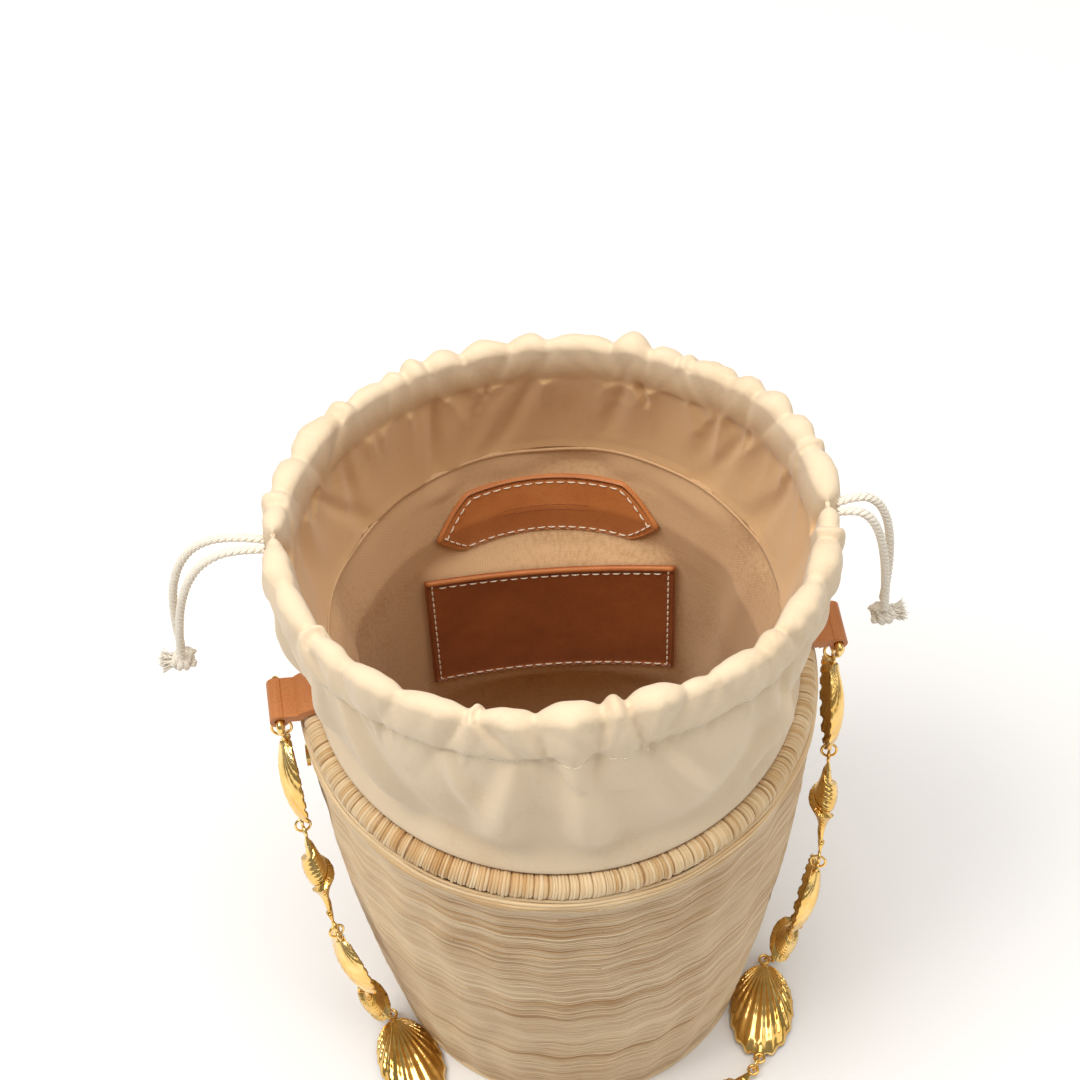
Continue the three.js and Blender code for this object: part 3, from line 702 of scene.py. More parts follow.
def collar_points(a, z, inward, is_inner, rise, in_casing):
    """Where the gathered cloth lies: rise is 0 at the rim and 1 at the casing's stitches."""
    half = CASING_THICKNESS / 2
    puffs = lobes(a, z, 40, 3, CASING_MIDDLE)
    small = lobes(a, z, 74, 11, CASING_MIDDLE)
    seam = np.exp(-((z - STITCH_LINE) / (1.8 * MM)) ** 2)
    even = 0.45 + 0.55 * np.abs(np.sin(a)) ** 0.7
    puffs = 0.65 + (puffs - 0.65) * even
    crease = ((puffs - 0.65) * 4.2 + (small - 0.65) * 1.4) * MM * rise ** 4.0
    puff = (puffs * 3.0 + small * 0.9 * even - 1.7) * MM * in_casing
    broad = waves(a + 6 * (z - BASKET_HEIGHT), [(3, 0.9), (5, 0.8)], 23)
    billow = (folds(a, rise, 21, 21) * 9.0 + broad) * MM
    billow = billow * np.sin(math.pi * np.clip(rise * 0.85 + 0.1, 0, 1))
    billow = 6 * MM * np.tanh(billow / (6 * MM))
    swell = 2.6 * MM * np.sin(math.pi * np.clip(rise * 1.1, 0, 1))
    outside = crease * (1 - in_casing) + puff + billow - 1.2 * MM * seam
    towards = np.clip(inward / (2 * half), 0, 1)
    inside = crease * 0.9 * (1 - in_casing) - puff * 0.45 + billow * 0.4 * rise
    offset = outside * (1 - towards) + inside * towards
    offset = np.where(is_inner, crease * 0.9 * (1 - in_casing) + billow * 0.7 * rise, offset + swell)
    low = 1 - smooth((z - BASKET_HEIGHT) / (12 * MM))
    # just above the rim the cloth leans out and rests on it
    drop = np.clip(BASKET_HEIGHT - COIL_HALF - z, -COIL_HALF, COIL_HALF)
    beside = COIL_RADIUS - np.sqrt(COIL_HALF ** 2 - drop ** 2) - 0.8 * MM
    lean = (beside - collar_radius(z)) * np.exp(-((z - BASKET_HEIGHT - 1 * MM) / (8 * MM)) ** 2)
    radius = collar_radius(z) - inward + offset * (1 - low * 0.95) + lean
    # the cords come out at the two sides, where the casing is open and pinched
    gap = np.exp(-(np.sin(a) / 0.020) ** 2) + 0.5 * np.exp(-(np.sin(a) / 0.07) ** 2)
    gap = gap * smooth((z - STITCH_LINE - 2 * MM) / (4 * MM)) * ~is_inner
    radius = radius - 2.8 * MM * gap * (1 - 2 * towards)
    lift = (waves(a, [(3, 1.0), (4, 0.8), (7, 0.7)], 31) + (puffs - 0.6) * 4.4) * MM
    height = z + lift * smooth(rise * 1.2 - 0.2) * in_casing - 1.6 * MM * gap * in_casing
    sx, sy = oval_stretch(z)
    droop = smooth(rise)
    return np.stack([radius * np.cos(a) * sx,
                     radius * np.sin(a) * sy * (1 + (MOUTH_DEEPER - 1) * droop) - MOUTH_DROOP * droop,
                     height - MOUTH_DROOP * droop * np.maximum(0, -np.sin(a))], -1)


def make_collar(mats):
    """Gathered cotton: out of the rim, up to the casing, over its top and down inside."""
    columns = 420
    angles = np.arange(columns) / columns * TAU
    casing_low = STITCH_LINE
    outer, top, inner = collar_profile(casing_low, LINING_TOP - 1 * MM)
    stations = outer + top + inner
    z = np.array([s[0] for s in stations])[:, None]
    inward = np.array([s[1] for s in stations])[:, None]
    a = angles[None]
    row = np.arange(len(stations))[:, None]
    is_inner = row >= len(outer) + len(top)
    rise = np.clip((z - BASKET_HEIGHT) / (casing_low - BASKET_HEIGHT), 0, 1)
    in_casing = smooth((z - casing_low + 1 * MM) / (4 * MM))
    points = collar_points(a, z, inward, is_inner, rise, in_casing)
    shape = points.shape[:2]
    steps = np.linalg.norm(np.diff(points, axis=0), axis=-1).mean(axis=1)
    down = np.concatenate([[0], np.cumsum(steps)])
    uv = np.stack([np.broadcast_to(angles * MOUTH_RADIUS * FULLNESS, shape),
                   np.broadcast_to(down[:, None], shape)], -1)
    verts = turn_liner(points).reshape(-1, 3)
    faces = grid_faces(len(stations), columns, close_columns=True)
    obj = make_mesh("collar_cloth", verts, faces, mats["cotton"], uv=uv.reshape(-1, 2))
    # held where it is sewn: at the neck, along the casing and at the lining's seam
    held = (in_casing > 0.02) | (z < BASKET_HEIGHT + 3 * MM) | (np.abs(z - casing_low) < 0.8 * MM)
    held = held | (row >= len(stations) - 2)
    near_rim = np.exp(-((z - BASKET_HEIGHT - 4 * MM) / (5 * MM)) ** 2)
    pin = np.broadcast_to(np.where(held, 1.0, 0.3 + 0.45 * near_rim), shape)
    grow = np.broadcast_to(~is_inner & (rise < 1), shape).astype(float)
    simulate(obj, pin.ravel(), grow.ravel(), 30, most=0.15, pressure=0.15)
    subdivide(obj)
    thicken(obj, 0.7 * MM)
    finish_piece(obj, "root", ["liner_collar"])
    # the stitched line under the casing
    out = np.stack([np.cos(angles), np.sin(angles), 0 * angles], -1)
    line = turn_liner(points[len(outer) - 1] + 0.2 * MM * out)
    out = turn_liner(out)
    stitches("casing_stitches", np.vstack([line, line[:1]]), 3.6 * MM, mats, radius=0.22,
             out=np.vstack([out, out[:1]]))


def subdivide(obj, levels=1):
    modifier = obj.modifiers.new("smooth", "SUBSURF")
    modifier.levels = levels
    modifier.render_levels = levels
    apply_modifiers(obj)


def thicken(obj, amount, offset=-1):
    modifier = obj.modifiers.new("thickness", "SOLIDIFY")
    modifier.thickness = amount
    modifier.offset = offset
    apply_modifiers(obj)


def apply_modifiers(obj):
    """Puts the evaluated mesh in place of the plain one."""
    graph = bpy.context.evaluated_depsgraph_get()
    mesh = bpy.data.meshes.new_from_object(obj.evaluated_get(graph))
    obj.modifiers.clear()
    obj.data = mesh


def lining_radius(z):
    beside_wall = wall_radius(z) - WALL_THICKNESS - 1.2 * MM
    neck = NECK_RADIUS - CLOTH - 0.6 * MM
    return np.minimum(beside_wall, neck) + collar_radius(z) - NECK_RADIUS


def lining_inside(z):
    return lining_radius(z) - 1.2 * MM


def make_lining(mats):
    """The twill bag: a floor, a side that follows the basket, and a turned seam at its top."""
    columns = 320
    angles = np.arange(columns) / columns * TAU
    z_wall = np.linspace(7 * MM, LINING_TOP, 120)
    radius = lining_inside(z_wall)
    floor = np.linspace(1 * MM, radius[0] - 2 * MM, 14)
    r = np.concatenate([floor, radius])[:, None]
    z = np.concatenate([np.full(len(floor), 6.2 * MM), z_wall])[:, None]
    a = angles[None]
    on_wall = smooth((z - 0.01) / 0.03)
    top = smooth((LINING_TOP - z) / 0.01)
    folds = waves(a + 3 * (z - 0.1), [(5, 0.9), (8, 0.7), (13, 0.35)], 17) * MM
    folds = folds - 1.5 * MM * np.maximum(0, np.sin(7 * a + 22 * z + 1)) ** 6
    calm = panel_calm(a, z)
    r = r - 0.5 * MM + (folds - 0.6 * MM) * on_wall * top * calm
    # the leather holds the cloth flat behind it
    seat = panel_seat(z) + 0.3 * MM
    back_y = pocket_back_y(z) + 0.3 * MM
    x = np.abs(r * np.cos(a))
    flat = np.maximum(back_y - x ** 2 / (2 * POCKET_BEND), 1 * MM) / np.maximum(np.sin(a), 0.05)
    behind = smooth((60 * MM - x) / (13 * MM)) * (np.sin(a) > 0)
    pocket_zone = smooth((z - POCKET_LOW + 30 * MM) / (26 * MM))
    pocket_zone = pocket_zone * smooth((POCKET_HIGH + 7 * MM - z) / (11 * MM))
    label_zone = smooth((z - POCKET_HIGH) / (6 * MM)) * (1 - calm)
    r = r + (np.minimum(seat, r) - r) * label_zone
    r = r + (np.minimum(flat, r) - r) * pocket_zone * behind
    sx, sy = oval_stretch(z)
    points = np.stack([r * np.cos(a) * sx, r * np.sin(a) * sy, z + 0 * a], -1)
    down = np.concatenate([[0], np.cumsum(np.linalg.norm(np.diff(points[:, 0], axis=0), axis=-1))])
    uv = np.stack([np.broadcast_to(angles * 0.08, r.shape), np.broadcast_to(down[:, None], r.shape)], -1)
    faces = grid_faces(len(z), columns, close_columns=True)
    obj = make_mesh("lining_cloth", turn_liner(points).reshape(-1, 3), faces, mats["twill"],
                    uv=uv.reshape(-1, 2))
    thicken(obj, 0.6 * MM, 1)
    finish_piece(obj, "root", ["liner_bag"])
    # the folded edge where the cotton facing is sewn to the twill
    seam_z = LINING_TOP - 1 * MM
    sx, sy = oval_stretch(seam_z)
    radius = lining_inside(seam_z) - 0.9 * MM
    wobble = waves(angles, [(7, 0.2), (12, 0.15)], 41) * MM
    ring = np.stack([(radius + wobble) * np.cos(angles) * sx, (radius + wobble) * np.sin(angles) * sy,
                     seam_z + wobble], -1)[None]
    across, out = frames(turn_liner(ring), closed=True)
    verts, faces = tubes(turn_liner(ring), across, out, 0.45 * MM, 0.75 * MM, sides=10)
    obj = make_mesh("lining_seam", verts, faces, mats["twill"], uv=strand_uv(1, columns, 10, 0.5))
    finish_piece(obj, "root")


def panel_calm(a, z):
    """0 where the leather pieces lie on the lining, 1 elsewhere."""
    near = np.exp(-((np.sin((a - math.pi / 2) / 2)) / 0.38) ** 6)
    low, high = POCKET_LOW - 5 * MM, LABEL_HIGH + 5 * MM
    return 1 - near * smooth((z - low) / 0.008) * smooth((high - z) / 0.008)


def panel_seat(z):
    return lining_radius(z) - 1.2 * MM - 2.6 * MM


def bent_centre(z, width, bend):
    """Y of the centre about which a leather piece is bent: its two ends touch the lining."""
    half_angle = width / 2 / bend
    end_y = np.sqrt(panel_seat(z) ** 2 - (bend * math.sin(half_angle)) ** 2)
    return end_y - bend * math.cos(half_angle)


def pocket_back_y(z):
    z = np.clip(z, POCKET_LOW, POCKET_HIGH)
    return bent_centre(z, POCKET_WIDTH, POCKET_BEND) + POCKET_BEND


def on_panel(u, z, stand, width, bend):
    """A point on a leather piece: u across it, z up it, and how proud of its back it stands."""
    r = bend - stand
    angle = math.pi / 2 - u / bend
    return turn_liner(np.stack([r * np.cos(angle), r * np.sin(angle) + bent_centre(z, width, bend),
                                z + 0 * u], -1))


def leather_panel(name, width, bend, low_edge, high_edge, mat, slot, node):
    """A leather piece between two edges given over -1 to 1, with soft cut edges all round."""
    columns, rows = 72, 20
    s = np.linspace(-1, 1, columns)
    v = np.linspace(0, 1, rows)[:, None]
    low, high = low_edge(s), high_edge(s)
    z = low + (high - low) * v
    u = np.broadcast_to(s * width / 2, z.shape)
    bevel = 0.55 * MM
    index = np.arange(rows * columns).reshape(rows, columns)

    def around(grid):
        return np.concatenate([grid[0, :-1], grid[:-1, -1], grid[-1, :0:-1], grid[:0:-1, 0]])

    inner_u = u * (1 - 2 * bevel / width)
    inner_z = low + bevel + (high - low - 2 * bevel) * v
    verts = [on_panel(inner_u, inner_z, LEATHER, width, bend).reshape(-1, 3)]
    faces = [grid_faces(rows, columns)[:, ::-1]]
    last = around(index)
    start = rows * columns
    for stand, spread in ((0.93, 0.45), (0.72, 0.85), (0.40, 1.0), (0.0, 1.0)):
        loop_u = around(inner_u + (u - inner_u) * spread)
        loop_z = around(inner_z + (z - inner_z) * spread)
        verts.append(on_panel(loop_u, loop_z, LEATHER * stand, width, bend))
        here = np.arange(len(last)) + start
        start += len(last)
        faces.append(np.stack([last, here, np.roll(here, -1), np.roll(last, -1)], -1))
        last = here
    verts.append(on_panel(u, z, 0.0, width, bend).reshape(-1, 3))
    faces.append(grid_faces(rows, columns, start=start))
    obj = make_mesh(name, np.concatenate(verts), faces, mat)
    finish_piece(obj, "root", [node])
    return obj


def stitches(name, path, pitch, mats, body="root", length=0.72, radius=0.33,
             lift=0.25, out=None):
    """Short threads along a path of points: each rises out of its piece and dips back in."""
    path = np.asarray(path, float)
    steps = np.linalg.norm(np.diff(path, axis=0), axis=1)
    run = np.concatenate([[0], np.cumsum(steps)])
    count = max(2, int(run[-1] / pitch))
    starts = (np.arange(count) + 0.14) * run[-1] / count
    samples = 7
    t = np.linspace(0, 1, samples)
    place = starts[:, None] + t[None] * run[-1] / count * length
    points = np.stack([np.interp(place, run, path[:, k]) for k in range(3)], -1)
    outward = np.stack([np.interp(place, run, np.asarray(out)[:, k]) for k in range(3)], -1)
    outward = unit(outward)
    hump = (np.sin(t * math.pi) ** 0.6)[None, :, None]
    points = points + outward * (hump * lift * MM)
    along = unit(np.gradient(points, axis=1))
    across = unit(np.cross(along, outward))
    up = np.cross(across, along)
    taper = 0.55 + 0.45 * np.sin(t * math.pi)[None]
    verts, faces = tubes(points, across, up, radius * MM * taper, radius * MM * taper * 0.85,
                         sides=6, closed=False)
    obj = make_mesh(name, verts, faces, mats["thread"])
    return finish_piece(obj, body)


def panel_stitches(name, outline, width, bend, mats, pitch=3.7 * MM):
    """Stitches along a leather piece, from (u, z) points."""
    outline = np.asarray(outline, float)
    u, z = outline[:, 0], outline[:, 1]
    path = on_panel(u, z, LEATHER + 0.1 * MM, width, bend)
    out = path - on_panel(u, z, 0.0, width, bend)
    stitches(name, path, pitch, mats, out=out)


def pocket_low(s):
    return POCKET_LOW + 0 * s


def pocket_high(s):
    return POCKET_HIGH - 2 * MM * (1 - s * s)


def make_pocket(mats):
    args = (POCKET_WIDTH, POCKET_BEND)
    leather_panel("pocket_leather", *args, pocket_low, pocket_high, mats["brown"], "leather_brown",
                  "card_pocket")
    # the top edge is turned over: a paler roll along the mouth of the pocket
    s = np.linspace(-0.985, 0.985, 60)
    u, z = s * POCKET_WIDTH / 2, pocket_high(s)
    roll = on_panel(u, z - 0.5 * MM, LEATHER * 0.9, *args)
    out = unit(roll - on_panel(u, z - 0.5 * MM, 0.0, *args))
    up = np.zeros_like(out)
    up[:, 2] = 1
    verts, faces = tubes(roll[None], up[None], out[None], 1.1 * MM, 0.8 * MM, 10, closed=False)
    finish_piece(make_mesh("pocket_fold", verts, faces, mats["tan"]), "root")
    # stitches down one side, along the foot and up the other side
    inset = 2.4 * MM
    w = POCKET_WIDTH / 2 - inset
    side = np.linspace(0, 1, 30)[:, None]
    tops = pocket_high(np.array([-0.95, 0.95])) - 0.4 * MM
    foot = POCKET_LOW + inset
    down = np.hstack([np.full((30, 1), -w), tops[0] + (foot - tops[0]) * side])
    along = np.hstack([-w + 2 * w * side, foot + 0 * side])
    rise = np.hstack([np.full((30, 1), w), foot + (tops[1] - foot) * side])
    panel_stitches("pocket_stitches", np.vstack([down, along[1:], rise[1:]]), *args, mats)
    s = np.linspace(-0.9, 0.9, 60)
    mouth = np.stack([s * POCKET_WIDTH / 2, pocket_high(s) - 3.2 * MM], -1)
    panel_stitches("pocket_mouth_stitches", mouth, *args, mats)


def label_taper(s, start):
    return np.maximum(0, (np.abs(s) - start) / (1 - start)) ** 1.3


def label_low(s):
    return LABEL_LOW + 0.44 * (LABEL_HIGH - LABEL_LOW) * label_taper(s, 0.74)


def label_high(s):
    return LABEL_HIGH - 0.5 * (LABEL_HIGH - LABEL_LOW) * label_taper(s, 0.68)


def make_label(mats):
    """A plain stitched patch with two pressed lines in place of any lettering."""
    args = (LABEL_WIDTH, LABEL_BEND)
    leather_panel("label_leather", *args, label_low, label_high, mats["tan"], "leather_tan",
                  "label_patch")
    s = np.linspace(-1, 1, 120)
    inset = 2.3 * MM
    high = np.stack([s * LABEL_WIDTH / 2 * 0.945, label_high(s) - inset], -1)
    low = np.stack([s * LABEL_WIDTH / 2 * 0.945, label_low(s) + inset], -1)
    high[:, 1] = np.maximum(high[:, 1], low[:, 1])
    panel_stitches("label_stitches_top", high, *args, mats)
    panel_stitches("label_stitches_bottom", low[::-1], *args, mats)
    s = np.linspace(-0.36, 0.36, 40)
    for k, drop in enumerate((0, 2.4 * MM)):
        u = s * LABEL_WIDTH / 2
        z = (LABEL_LOW + LABEL_HIGH) / 2 + 1.5 * MM - drop + 0 * s
        line = on_panel(u, z, LEATHER + 0.02 * MM, *args)
        out = unit(line - on_panel(u, z, 0, *args))
        up = np.zeros_like(out)
        up[:, 2] = 1
        verts, faces = tubes(line[None], up[None], out[None], 0.22 * MM, 0.10 * MM, 6, closed=False)
        finish_piece(make_mesh(f"label_line_{k}", verts, faces, mats["brown"]), "root")


# ---------- drawstrings ----------
EXIT_X = MOUTH_HALF_LENGTH - CASING_THICKNESS / 2 + 3.2 * MM
STRAND_ROUTE = [(0, 0), (5, 0.6), (10, -0.6), (14.5, -5.5), (18, -14), (20.5, -25), (22, -36),
                (23, -47), (23.6, -57)]
STRAND_LEAN = {"left": 1.45, "right": 0.8}
STRAND_SPREAD = 1.9 * MM


def catmull(points, count):
    """Even samples of a smooth curve through the points."""
    p = np.asarray(points, float)
    p = np.vstack([2 * p[0] - p[1], p, 2 * p[-1] - p[-2]])
    t = np.linspace(0, len(p) - 3 - 1e-9, count)
    i = t.astype(int)
    f = (t - i)[:, None]
    a, b, c, d = p[i], p[i + 1], p[i + 2], p[i + 3]
    return 0.5 * ((2 * b) + (c - a) * f + (2 * a - 5 * b + 4 * c - d) * f ** 2
                  + (3 * b - a - 3 * c + d) * f ** 3)


def strand_points(side, row):
    direction = -1 if side == "left" else 1
    points = []
    for i, (out, drop) in enumerate(STRAND_ROUTE):
        along = i / (len(STRAND_ROUTE) - 1)
        belly = STRAND_SPREAD + 2.4 * MM * math.sin(math.pi * along) * (1 if row > 0 else 0.4)
        bow = 3 * MM * math.sin(math.pi * along) if row > 0 else 0
        points.append((direction * (EXIT_X + out * MM * STRAND_LEAN[side] + bow), row * belly,
                       CASING_MIDDLE + drop * MM))
    return turn_liner(points)


def twisted(path, diameter, plies=3, turns_per_metre=150, sides=8, samples_per_turn=12):
    """A cord of plies laid round a path: returns vertices and faces."""
    length = float(np.sum(np.linalg.norm(np.diff(path, axis=0), axis=1)))
    samples = max(24, int(length * turns_per_metre * samples_per_turn))
    run = np.concatenate([[0], np.cumsum(np.linalg.norm(np.diff(path, axis=0), axis=1))])
    place = np.linspace(0, length, samples)
    p = np.stack([np.interp(place, run, path[:, k]) for k in range(3)], -1)
    across, out = frames(p[None], (0.13, 0.97, 0.21))
    across, out = across[0], out[0]
    ply = diameter * 0.268
    parts = []
    for k in range(plies):
        angle = place * turns_per_metre * TAU + k / plies * TAU
        c, s = np.cos(angle)[:, None], np.sin(angle)[:, None]
        centre = p + (across * c + out * s) * (diameter / 2 - ply)
        side, up = frames(centre[None], (0.13, 0.97, 0.21))
        parts.append(tubes(centre[None], side, up, ply * 1.06, ply * 1.06, sides, closed=False))
    return merge(parts)


def make_drawstrings(mats):
    for side in ("left", "right"):
        body = f"drawstring_{side}"
        for label, row in (("front", -1), ("back", 1)):
            route = strand_points(side, row)
            path = catmull(route, 60)
            verts, faces = twisted(path, CORD)
            cord = make_mesh(f"cord_{side}_{label}", verts, faces, mats["cord"])
            finish_piece(cord, body, [f"drawstring_{side}_{label}"])
        make_knot(side, mats)
    # each cord also runs round inside the casing
    apart = 1.9 * MM
    for node, rise, start in (("casing_cord_upper", apart, 0), ("casing_cord_lower", -apart, math.pi)):
        a = np.linspace(start + 0.07, start + TAU - 0.07, 240)
        reach = MOUTH_RADIUS - CASING_THICKNESS / 2
        sx, sy = oval_stretch(CASING_MIDDLE)
        path = np.stack([reach * np.cos(a) * sx,
                         reach * np.sin(a) * sy * MOUTH_DEEPER - MOUTH_DROOP,
                         CASING_MIDDLE + rise - MOUTH_DROOP * np.maximum(0, -np.sin(a))], -1)
        verts, faces = twisted(turn_liner(path), CORD, 3, 150, 5, 6)
        inner = make_mesh(node + "_twist", verts, faces, mats["cord"])
        finish_piece(inner, "root", [node])


def make_knot(side, mats):
    """Both cords wound in one knot, with their ends frayed out on its outer side."""
    direction = -1 if side == "left" else 1
    last = STRAND_ROUTE[-1]
    x = direction * (EXIT_X + last[0] * MM * STRAND_LEAN[side])
    z = CASING_MIDDLE + last[1] * MM - 5.4 * MM
    centre = turn_liner((x, 0, z))
    t = np.linspace(0, 1, 110)
    parts = []
    for lay in (0, 1):
        # two cords wound round side by side, from the bag's side outwards
        turn = TAU * 1.6 * t + math.pi * lay
        reach = 2.9 * MM * np.sin(math.pi * np.clip(t * 0.9 + 0.08, 0, 1)) ** 0.35
        along = (-3.6 + 7.4 * t + 0.5 * np.sin(turn * 0.7)) * MM
        path = np.stack([direction * along, reach * np.cos(turn), reach * np.sin(turn)], -1) + centre
        parts.append(twisted(path, CORD * 0.95, 3, 150, 6, 8))
    core = np.stack([direction * np.linspace(-3.5, 5.0, 20) * MM, np.zeros(20), np.zeros(20)], -1)
    parts.append(twisted(core + centre, CORD, 3, 150, 6, 8))
    verts, faces = merge(parts)
    knot = make_mesh(f"knot_{side}", verts, faces, mats["cord"])
    finish_piece(knot, f"drawstring_{side}", [f"drawstring_{side}_knot"])
    # the frayed ends
    count, samples = 170, 8
    r = np.random.default_rng(91 if side == "left" else 92)
    s = np.linspace(0, 1, samples)[None, :, None]
    spin = r.random((count, 1, 1)) * TAU
    lean = np.abs(r.normal(0.30, 0.25, (count, 1, 1)))
    length = r.uniform(2.6, 4.6, (count, 1, 1)) * MM
    start = centre + np.array([direction * 3.6 * MM, 0, 0])
    root = np.concatenate([0 * spin, np.cos(spin), np.sin(spin)], -1)
    root = root * r.uniform(0.3, 2.2, (count, 1, 1)) * MM
    fall = np.concatenate([direction * np.ones_like(spin), np.cos(spin) * lean, np.sin(spin) * lean], -1)
    curl = r.normal(0, 0.5 * MM, (count, 1, 3)) * s ** 2
    tails = start + root + unit(fall) * length * s + curl
    across, out = frames(tails, (0.3, 0.8, 0.1))
    taper = 1 - 0.5 * s[..., 0]
    verts, faces = tubes(tails, across, out, 0.26 * MM * taper, 0.26 * MM * taper, 5, closed=False)
    tuft = make_mesh(f"frayed_end_{side}", verts, faces, mats["cord"])
    finish_piece(tuft, f"drawstring_{side}")


# ---------- strap ----------
SHELL_LENGTH = PITCH - 2 * RING


def ring_centres():
    """Centres of the jump rings, from the left D ring round the front to the right one."""
    inside = END_RING - RING_WIRE / 2 - D_WIRE / 2 - 0.15 * MM
    reach = D_RADIUS + inside
    side = [np.array([D_BAR_X, -reach * math.sin(ARC_ANGLE), D_BAR_Z - reach * math.cos(ARC_ANGLE)])]
    lengths = [PITCH - RING + END_RING, PITCH, PITCH, PITCH]
    front_x = PITCH / (2 * math.sin(math.pi / 10))
    outs = HANGING_X[1:] + [front_x]
    for i in range(SIDE_SHELLS):
        start = side[i]
        fall = math.sqrt(lengths[i] ** 2 - (outs[i] - start[0]) ** 2)
        last = i == SIDE_SHELLS - 1
        lean = -math.acos((start[2] - REST_HEIGHT) / fall) if last else LEANS[i]
        side.append(np.array([outs[i], start[1] - fall * math.sin(lean),
                              start[2] - fall * math.cos(lean)]))
    foot = side[SIDE_SHELLS]
    lying = SHELLS - 2 * SIDE_SHELLS
    front = []
    for i in range(1, lying):
        angle = math.pi + math.pi * i / lying
        front.append(np.array([front_x * math.cos(angle),
                               foot[1] + FRONT_DRAW + front_x * math.sin(angle), REST_HEIGHT]))
    left = [p * np.array([-1, 1, 1]) for p in side]
    return left + front + side[::-1]


def is_foot(index):
    return index in (SIDE_SHELLS, SHELLS - SIDE_SHELLS)


def eye_place(centres, index, step):
    """Where a shell's eye sits on a jump ring: step is 1 for the shell after the ring, else -1."""
    centre = centres[index]
    if index in (0, SHELLS):
        return centre + unit(centres[index + step] - centre) * END_RING
    if not is_foot(index):
        return centre + unit(centres[index + 1] - centres[index - 1]) * step * RING
    if centres[index + step][2] > centre[2] + PITCH / 2:
        return centre + unit(centres[index + step] - centre) * FOOT_RING
    return centre + np.array([-math.copysign(1, centre[0]), 0, 0]) * FOOT_RING


def chain_frame(along, face):
    out = unit(face - along * np.dot(face, along))
    return np.stack([out, np.cross(along, out), along], -1)


def closed_shape(top, bottom):
    """Faces that join two grids of vertices of the same size along their edges."""
    rows, columns = top.shape[:2]
    verts = np.concatenate([top.reshape(-1, 3), bottom.reshape(-1, 3)])
    faces = [grid_faces(rows, columns), grid_faces(rows, columns, start=rows * columns)[:, ::-1]]
    index = np.arange(rows * columns).reshape(rows, columns)
    rim = np.concatenate([index[0, :-1], index[:-1, -1], index[-1, :0:-1], index[:0:-1, 0]])
    other = rim + rows * columns
    faces.append(np.stack([rim, other, np.roll(other, -1), np.roll(rim, -1)], -1))
    return verts, faces


def cockle_shape(half_width=13.2 * MM):
    """A fan with fine ribs from its hinge to a toothed edge; +X is its outer face."""
    half = SHELL_LENGTH / 2 - EYE_HOLE - 0.4 * MM
    spread = np.linspace(-1.33, 1.33, 241)[None]
    reach = np.linspace(0.035, 1, 34)[:, None]
    cos, sin = np.cos(spread), np.sin(spread)
    edge = 2 * half * cos * half_width ** 2 / (half_width ** 2 * cos ** 2 + half ** 2 * sin ** 2)
    ribs = np.cos(spread * 46)
    edge = edge * (1 + 0.016 * ribs * smooth((reach - 0.8) / 0.2))
    y = edge * reach * sin
    z = half - edge * reach * cos
    inside = np.clip((y / half_width) ** 2 + (z / half) ** 2, 0, 1)
    dome = 6.0 * MM * (1 - inside) ** 0.62 - 1.9 * MM
    beak = 2.0 * MM * np.exp(-((1 - z / half) / 0.22) ** 2) * (1 - np.abs(sin) * 0.8)
    growth = 0.10 * MM * np.sin(reach * 52) * reach
    relief = (0.22 * MM * ribs * smooth(reach * 2)) + growth
    top = np.stack([dome + beak + relief, y, z], -1)
    bottom = np.stack([dome + beak - 0.75 * MM + 0.5 * relief, y * 0.985, z + 0 * y], -1)
    return closed_shape(top, bottom)


def whelk_shape():
    """A slim spiral with a turned lip and fine ribs along its whorls."""
    half = SHELL_LENGTH / 2 - EYE_HOLE - 0.4 * MM
    t = np.linspace(-1, 1, 130)[:, None]
    a = (np.arange(72) / 72 * TAU)[None]
    body = 6.4 * MM * np.exp(-((t - 0.18) / 0.42) ** 2) + 1.5 * MM * (1 - t ** 8)
    body = body * np.sqrt(np.clip(1 - np.abs(t) ** 18, 0, 1)) + 0.15 * MM
    phase = ((a / TAU - 1.9 * (t + 1) / 2 - 0.25 * (t + 1) ** 2) % 1.0)
    lip = (1 - phase) ** 2.2
    step = 1 + 0.42 * lip - 0.16 * np.exp(-((phase - 0.93) / 0.05) ** 2)
    ribs = 1 + 0.022 * np.sin(phase * TAU * 7) + 0.012 * np.sin(t * 150)
    r = body * step * ribs * 0.82
    verts = np.stack([r * np.cos(a) * 0.62, r * np.sin(a), t * half + 0 * a], -1)
    rows, columns = verts.shape[:2]
    faces = [grid_faces(rows, columns, close_columns=True)[:, ::-1],
             np.arange(columns)[None], (np.arange(columns)[::-1] + (rows - 1) * columns)[None]]
    return verts.reshape(-1, 3), faces


def eye_shapes():
    """The flat eyes at a shell's two ends, with a short neck each."""
    parts = []
    t = np.arange(24) / 24 * TAU
    radius = EYE_HOLE + EYE_WIRE / 2
    for end in (-1, 1):
        ring = np.stack([0 * t, radius * np.sin(t), end * SHELL_LENGTH / 2 + radius * np.cos(t)], -1)
        face = np.broadcast_to(np.array([1.0, 0, 0]), ring.shape)
        out = unit(ring - np.array([0, 0, end * SHELL_LENGTH / 2]))
        parts.append(tubes(ring[None], face[None], out[None], EYE_WIRE * 0.5, EYE_WIRE * 0.5, 10))
        inner = SHELL_LENGTH / 2 - EYE_HOLE - EYE_WIRE * 0.5
        z = np.linspace(inner - 4.5 * MM, inner, 6) * end
        neck = np.stack([np.linspace(0.5 * MM, 0, 6), 0 * z, z], -1)[None]
        across, out = frames(neck, (1, 0, 0))
        wide = np.linspace(1.9, 0.75, 6)[None] * MM
        parts.append(tubes(neck, across, out, wide, wide * 0.55, 10, closed=False))
    return parts


